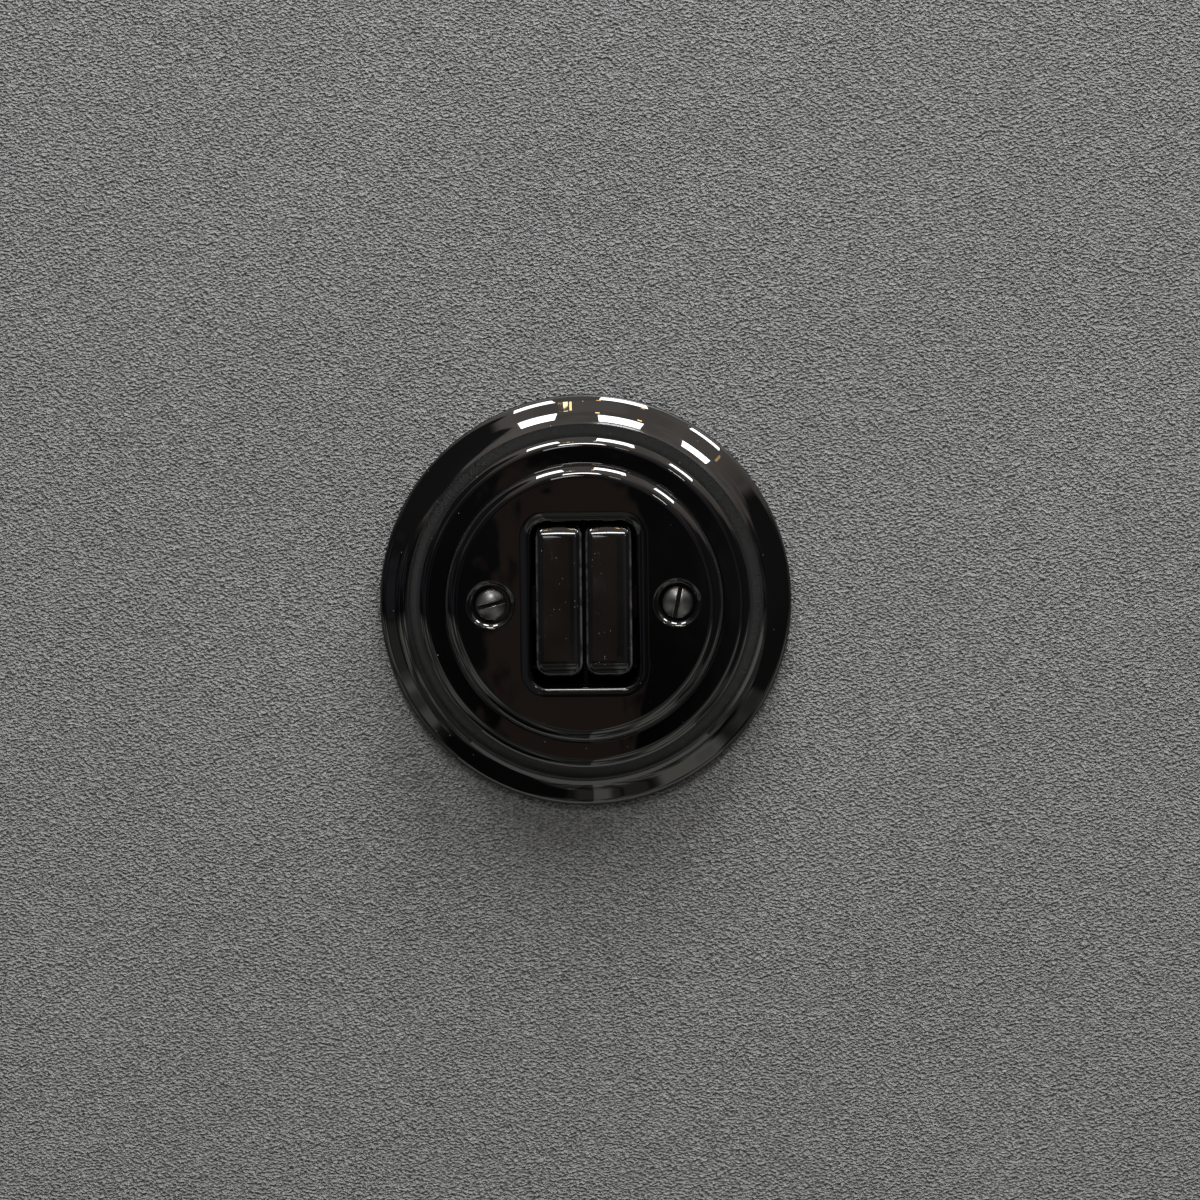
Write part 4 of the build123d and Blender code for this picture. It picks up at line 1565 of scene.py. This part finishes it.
@dataclass(frozen=True)
class Lamp:
    """Rectangular lamp seen from the switch, its direction and size given as angles in degrees.

    Attributes:
        name: Name of the lamp.
        around: Angle about the wall's normal, from the right and anticlockwise.
        polar: Angle off the wall's normal.
        width: Angle that it fills round the normal.
        depth: Angle that it fills towards the normal.
        radiance: How bright its face is.
        distance: Metres from the switch.
        tint: Colour of the light.
    """

    name: str
    around: float
    polar: float
    width: float
    depth: float
    radiance: float
    distance: float = 1.7
    tint: Colour = (0.98, 1.0, 1.0)

    def build(self) -> None:
        """Hang the lamp."""
        turn, lean = math.radians(self.around), math.radians(self.polar)
        away = Vector((math.sin(lean) * math.cos(turn), -math.cos(lean), math.sin(lean) * math.sin(turn)))
        data = bpy.data.lights.new(self.name, "AREA")
        data.shape = "RECTANGLE"
        data.size = 2 * self.distance * math.tan(math.radians(self.width / 2))
        data.size_y = 2 * self.distance * math.tan(math.radians(self.depth / 2))
        data.energy = LAMP_POWER * self.radiance * data.size * data.size_y
        data.color = self.tint
        made = linked(self.name, data)
        made.location = away * self.distance
        across = Vector((math.sin(turn), 0.0, -math.cos(turn)))
        along = away.cross(across)
        made.rotation_euler = Matrix((across, along, away)).transposed().to_euler()
        made.visible_camera = False


@dataclass
class Studio:
    """Wall, floor, lamps, surroundings and the camera."""

    camera_distance: float = 1.5
    camera_around: float = 1.3
    camera_above: float = 3.3
    camera_roll: float = -0.75
    camera_clip: Point = (0.05, 50.0)
    sensor: float = 36.0
    aim: float = -0.002
    view_width: float = 0.2916
    view_shift: float = 0.0035
    wall_tone: Colour = (0.262, 0.263, 0.264)
    floor_tone: Colour = (0.62, 0.61, 0.59)
    wall_corners: tuple[Point, ...] = (
        (-2500.0, -1000.0), (2500.0, -1000.0), (2500.0, 2400.0), (-2500.0, 2400.0)
    )
    floor_corners: tuple[Spot, ...] = (
        (-0.8, -0.2, -1.0), (0.8, -0.2, -1.0), (0.8, 1.6, -1.0), (-0.8, 1.6, -1.0)
    )
    box_hole: float = 48.5
    hole_steps: int = 64
    brown: Colour = (0.15, 0.105, 0.085)
    windows: tuple[tuple[float, float, float, float], ...] = (
        (-0.040, -0.0177, -0.110, -0.037), (-0.130, 0.004, 0.070, 0.300)
    )
    window_soft: float = 0.002
    patch_soft: float = 0.012
    patch_ragged: float = 0.10
    heights: Stops = (
        (0.0, (0.42, 0.41, 0.38)),
        (0.06, (0.34, 0.33, 0.31)),
        (0.16, (0.12, 0.12, 0.115)),
        (0.22, (0.36, 0.36, 0.34)),
        (0.42, (0.34, 0.34, 0.32)),
        (0.45, (0.046, 0.048, 0.060)),
        (0.56, (0.055, 0.056, 0.064)),
        (0.66, (0.17, 0.155, 0.14)),
        (0.77, (0.70, 0.63, 0.58)),
        (0.87, (1.00, 0.91, 0.84)),
        (1.0, (0.90, 0.83, 0.77)),
    )
    patches: tuple[tuple[Spot, float, Colour], ...] = (
        ((0.44, -0.52, -0.73), 13.0, (0.80, 0.79, 0.71)),
        ((0.55, -0.62, -0.56), 9.0, (0.40, 0.40, 0.37)),
        ((-0.40, -0.47, -0.79), 16.0, (0.02, 0.02, 0.02)),
        ((0.83, -0.56, -0.03), 26.0, (0.045, 0.045, 0.045)),
        ((-0.72, -0.41, 0.56), 22.0, (0.060, 0.058, 0.060)),
    )
    lamps: tuple[Lamp, ...] = (
        Lamp("left ceiling lamp", 106.5, 66.5, 11.0, 18.0, 24.0),
        Lamp("middle ceiling lamp", 79.0, 75.0, 14.0, 19.0, 24.0),
        Lamp("right ceiling lamp", 51.9, 70.0, 10.0, 16.0, 24.0),
        Lamp("far ceiling lamp", 93.0, 33.0, 10.0, 6.0, 24.0, 2.6),
        Lamp("far right lamp", 51.0, 19.0, 3.0, 2.0, 18.0, 2.6),
        Lamp("far left glow", 105.0, 16.0, 4.0, 7.0, 4.0, 2.6),
        Lamp("far middle glow", 77.0, 25.0, 2.5, 2.0, 7.0, 2.6),
        Lamp("left warm spot", 97.2, 54.7, 1.2, 2.2, 19.0, 1.7, (1.0, 0.80, 0.50)),
        Lamp("left warm spot, near", 95.6, 53.8, 0.6, 0.9, 20.0, 1.7, WARM),
        Lamp("left warm spot, far", 98.8, 54.2, 0.9, 0.9, 20.0, 1.7, WARM),
        Lamp("middle warm spot", 86.8, 60.0, 1.2, 2.4, 24.0, 1.7, WARM),
        Lamp("right warm spot", 73.0, 60.0, 1.2, 2.4, 24.0, 1.7, WARM),
        Lamp("far right warm spot", 45.0, 53.0, 0.6, 0.6, 4.0, 1.7, WARM),
    )

    def wall(self) -> None:
        """Grey plaster wall, solid from the room and open from behind, with the box hole in it."""
        shell = Shell()
        hole = shell.ring(circle(self.box_hole, self.hole_steps), 0.0)
        edge = shell.ring(self.wall_corners, 0.0)
        shell.fill(edge, [hole])
        mesh = bpy.data.meshes.new("wall")
        mesh.from_pydata([Vector((p.x, 0.0, p.y)) * MM for p in shell.points], [], shell.faces)
        for polygon in mesh.polygons:
            if polygon.normal.y > 0:
                polygon.flip()
        mesh.update()
        mesh.materials.append(self.plaster())
        self.show("wall", mesh)

    def plaster(self) -> bpy.types.Material:
        """Grainy grey plaster that can't be seen from behind.

        Returns:
            The material.
        """
        made, graph = blank_material("wall plaster")
        coords = graph.place("Object")
        cloud = graph.noise(coords, 14.0, 5.0)
        grain = {"Vector": coords, "Rotation": (0.5, 0.35, 0.7), "Scale": (0.7, 1.0, 1.0)}
        fine = graph.noise(graph.node("ShaderNodeMapping", grain).outputs[0], 1800.0, 1.0)
        colour = graph.ramp(cloud, [(0.3, shade(self.wall_tone, 0.93)), (0.7, self.wall_tone)])
        pits = graph.span(fine, 0.32, 0.64, 0.65, 1.12)
        colour = graph.scaled(colour, pits)
        normal = graph.bump(graph.noise(coords, 90.0, 3.0), 0.0005, 0.6)
        normal = graph.bump(fine, 0.0026, 1.0, normal)
        plaster = graph.node("ShaderNodeBsdfDiffuse", {"Color": colour, "Normal": normal})
        side = graph.node("ShaderNodeNewGeometry").outputs["Backfacing"]
        clear = graph.node("ShaderNodeBsdfTransparent")
        mixed = graph.node("ShaderNodeMixShader", {0: side, 1: plaster.outputs[0], 2: clear.outputs[0]})
        graph.surface(mixed)
        return made

    def floor(self) -> None:
        """Pale floor a metre below the switch."""
        mesh = bpy.data.meshes.new("floor")
        mesh.from_pydata(self.floor_corners, [], [(0, 1, 2, 3)])
        made, graph = blank_material("pale floor")
        cloud = graph.noise(graph.place("Object"), 3.0)
        colour = graph.ramp(cloud, [(0.3, self.floor_tone), (0.7, shade(self.floor_tone, 0.96))])
        graph.surface(graph.node("ShaderNodeBsdfPrincipled", {"Base Color": colour, "Roughness": 0.7}))
        mesh.materials.append(made)
        self.show("floor", mesh)

    @staticmethod
    def show(name: str, mesh: Mesh) -> None:
        """Put a mesh on the stage."""
        linked(name, mesh)

    def surroundings(self) -> None:
        """Soft room light in front of the wall and plain light behind it."""
        world = bpy.data.worlds.new("room")
        world.use_nodes = True
        bpy.context.scene.world = world
        graph = Graph(world.node_tree)
        heading = graph.place("Generated")
        parts = graph.node("ShaderNodeSeparateXYZ", {0: heading}).outputs
        height = graph.span(parts["Z"], -1.0, 1.0)
        height.node.interpolation_type = "LINEAR"
        room = self.room(graph, heading, height)
        for left, right, low, high in self.windows:
            across = self.band(graph, parts["X"], left, right)
            window = graph.times(across, self.band(graph, parts["Z"], low, high))
            room = graph.blend(window, room, self.brown)
        plain = graph.ramp(height, [(0.0, (0.45, 0.45, 0.45)), (1.0, (0.95, 0.95, 0.95))])
        colour = graph.blend(graph.span(parts["Y"], -0.02, 0.20), room, plain)
        background = world.node_tree.nodes["Background"]
        world.node_tree.links.new(colour, background.inputs["Color"])
        background.inputs["Strength"].default_value = 1.0

    def room(self, graph: Graph, heading: Socket, height: Socket) -> Socket:
        """Warm ceiling, dark room and uneven floor, with a few plain patches.

        Args:
            graph: Tree that gets the nodes.
            heading: Direction in which the room is seen.
            height: The same direction's height, 0 straight down and 1 straight up.

        Returns:
            Socket with the colour of the room.
        """
        parts = graph.node("ShaderNodeSeparateXYZ", {0: heading}).outputs
        shapes = graph.noise(heading, 4.2, 2.0)
        deep = graph.span(shapes, 0.42, 0.58, 0.35, 1.45)
        gentle = graph.span(shapes, 0.35, 0.65, 0.8, 1.1)
        around = graph.maths("ARCTAN2", parts["X"], graph.times(parts["Y"], -1.0))
        strips = {"W": around, "Scale": 5.0, "Detail": 1.0}
        column = graph.node("ShaderNodeTexNoise", strips, noise_dimensions="1D").outputs[0]
        deep = graph.times(deep, graph.span(column, 0.44, 0.52, 0.45, 1.7))
        upper = graph.span(parts["Z"], 0.25, 0.55)
        share = graph.node("ShaderNodeMix", {0: upper, 2: deep, 3: gentle}, data_type="FLOAT").outputs[0]
        room = graph.scaled(graph.ramp(height, self.heights), share)
        ragged = graph.times(graph.maths("SUBTRACT", shapes, 0.5), self.patch_ragged)
        for towards, spread, tone in self.patches:
            facing = graph.node("ShaderNodeVectorMath", {0: heading, 1: towards}, operation="DOT_PRODUCT")
            near = graph.plus(facing.outputs["Value"], ragged)
            limit = math.cos(math.radians(spread))
            inner = graph.span(near, limit - self.patch_soft, limit + self.patch_soft)
            room = graph.blend(inner, room, tone)
        return room

    def band(self, graph: Graph, value: Socket, low: float, high: float) -> Socket:
        """1 while a value lies between two limits and 0 elsewhere, with soft ends.

        Args:
            graph: Tree that gets the nodes.
            value: The value.
            low: Lower limit.
            high: Upper limit.

        Returns:
            Socket with the result.
        """
        soft = self.window_soft
        risen = graph.span(value, low - soft, low + soft)
        return graph.times(risen, graph.span(value, high - soft, high + soft, 1.0, 0.0))

    def camera(self) -> None:
        """Camera almost straight in front, a little above and to the right, as in the photograph."""
        data = bpy.data.cameras.new("camera")
        data.sensor_width = self.sensor
        data.lens = self.sensor * self.camera_distance / self.view_width
        data.clip_start, data.clip_end = self.camera_clip
        made = linked("camera", data)
        turn, rise = math.radians(self.camera_around), math.radians(self.camera_above)
        back = Vector((math.sin(turn) * math.cos(rise), -math.cos(turn) * math.cos(rise), math.sin(rise)))
        looking = back.to_track_quat("Z", "Y").to_matrix()
        target = Vector((0.0, self.aim, 0.0)) + looking.col[0] * self.view_shift
        turned = looking.to_4x4() @ Matrix.Rotation(math.radians(self.camera_roll), 4, "Z")
        made.matrix_world = Matrix.Translation(target + back * self.camera_distance) @ turned
        bpy.context.scene.camera = made

    def build(self) -> None:
        """Set up everything round the switch."""
        self.wall()
        self.floor()
        for lamp in self.lamps:
            lamp.build()
        self.surroundings()
        self.camera()
        bpy.context.scene.view_settings.view_transform = "Standard"


def main() -> None:
    """Build the switch piece by piece, then the studio round it."""
    logging.basicConfig(level=logging.INFO, format="%(name)s: %(message)s")
    for assembly in (
        PorcelainFrame(),
        PorcelainCover(),
        Rocker(Side.LEFT),
        Rocker(Side.RIGHT),
        ScrewFittings(),
        Insert(),
        Studio(),
    ):
        LOG.info("building %s", type(assembly).__name__)
        assembly.build()


if __name__ == "__main__":
    main()
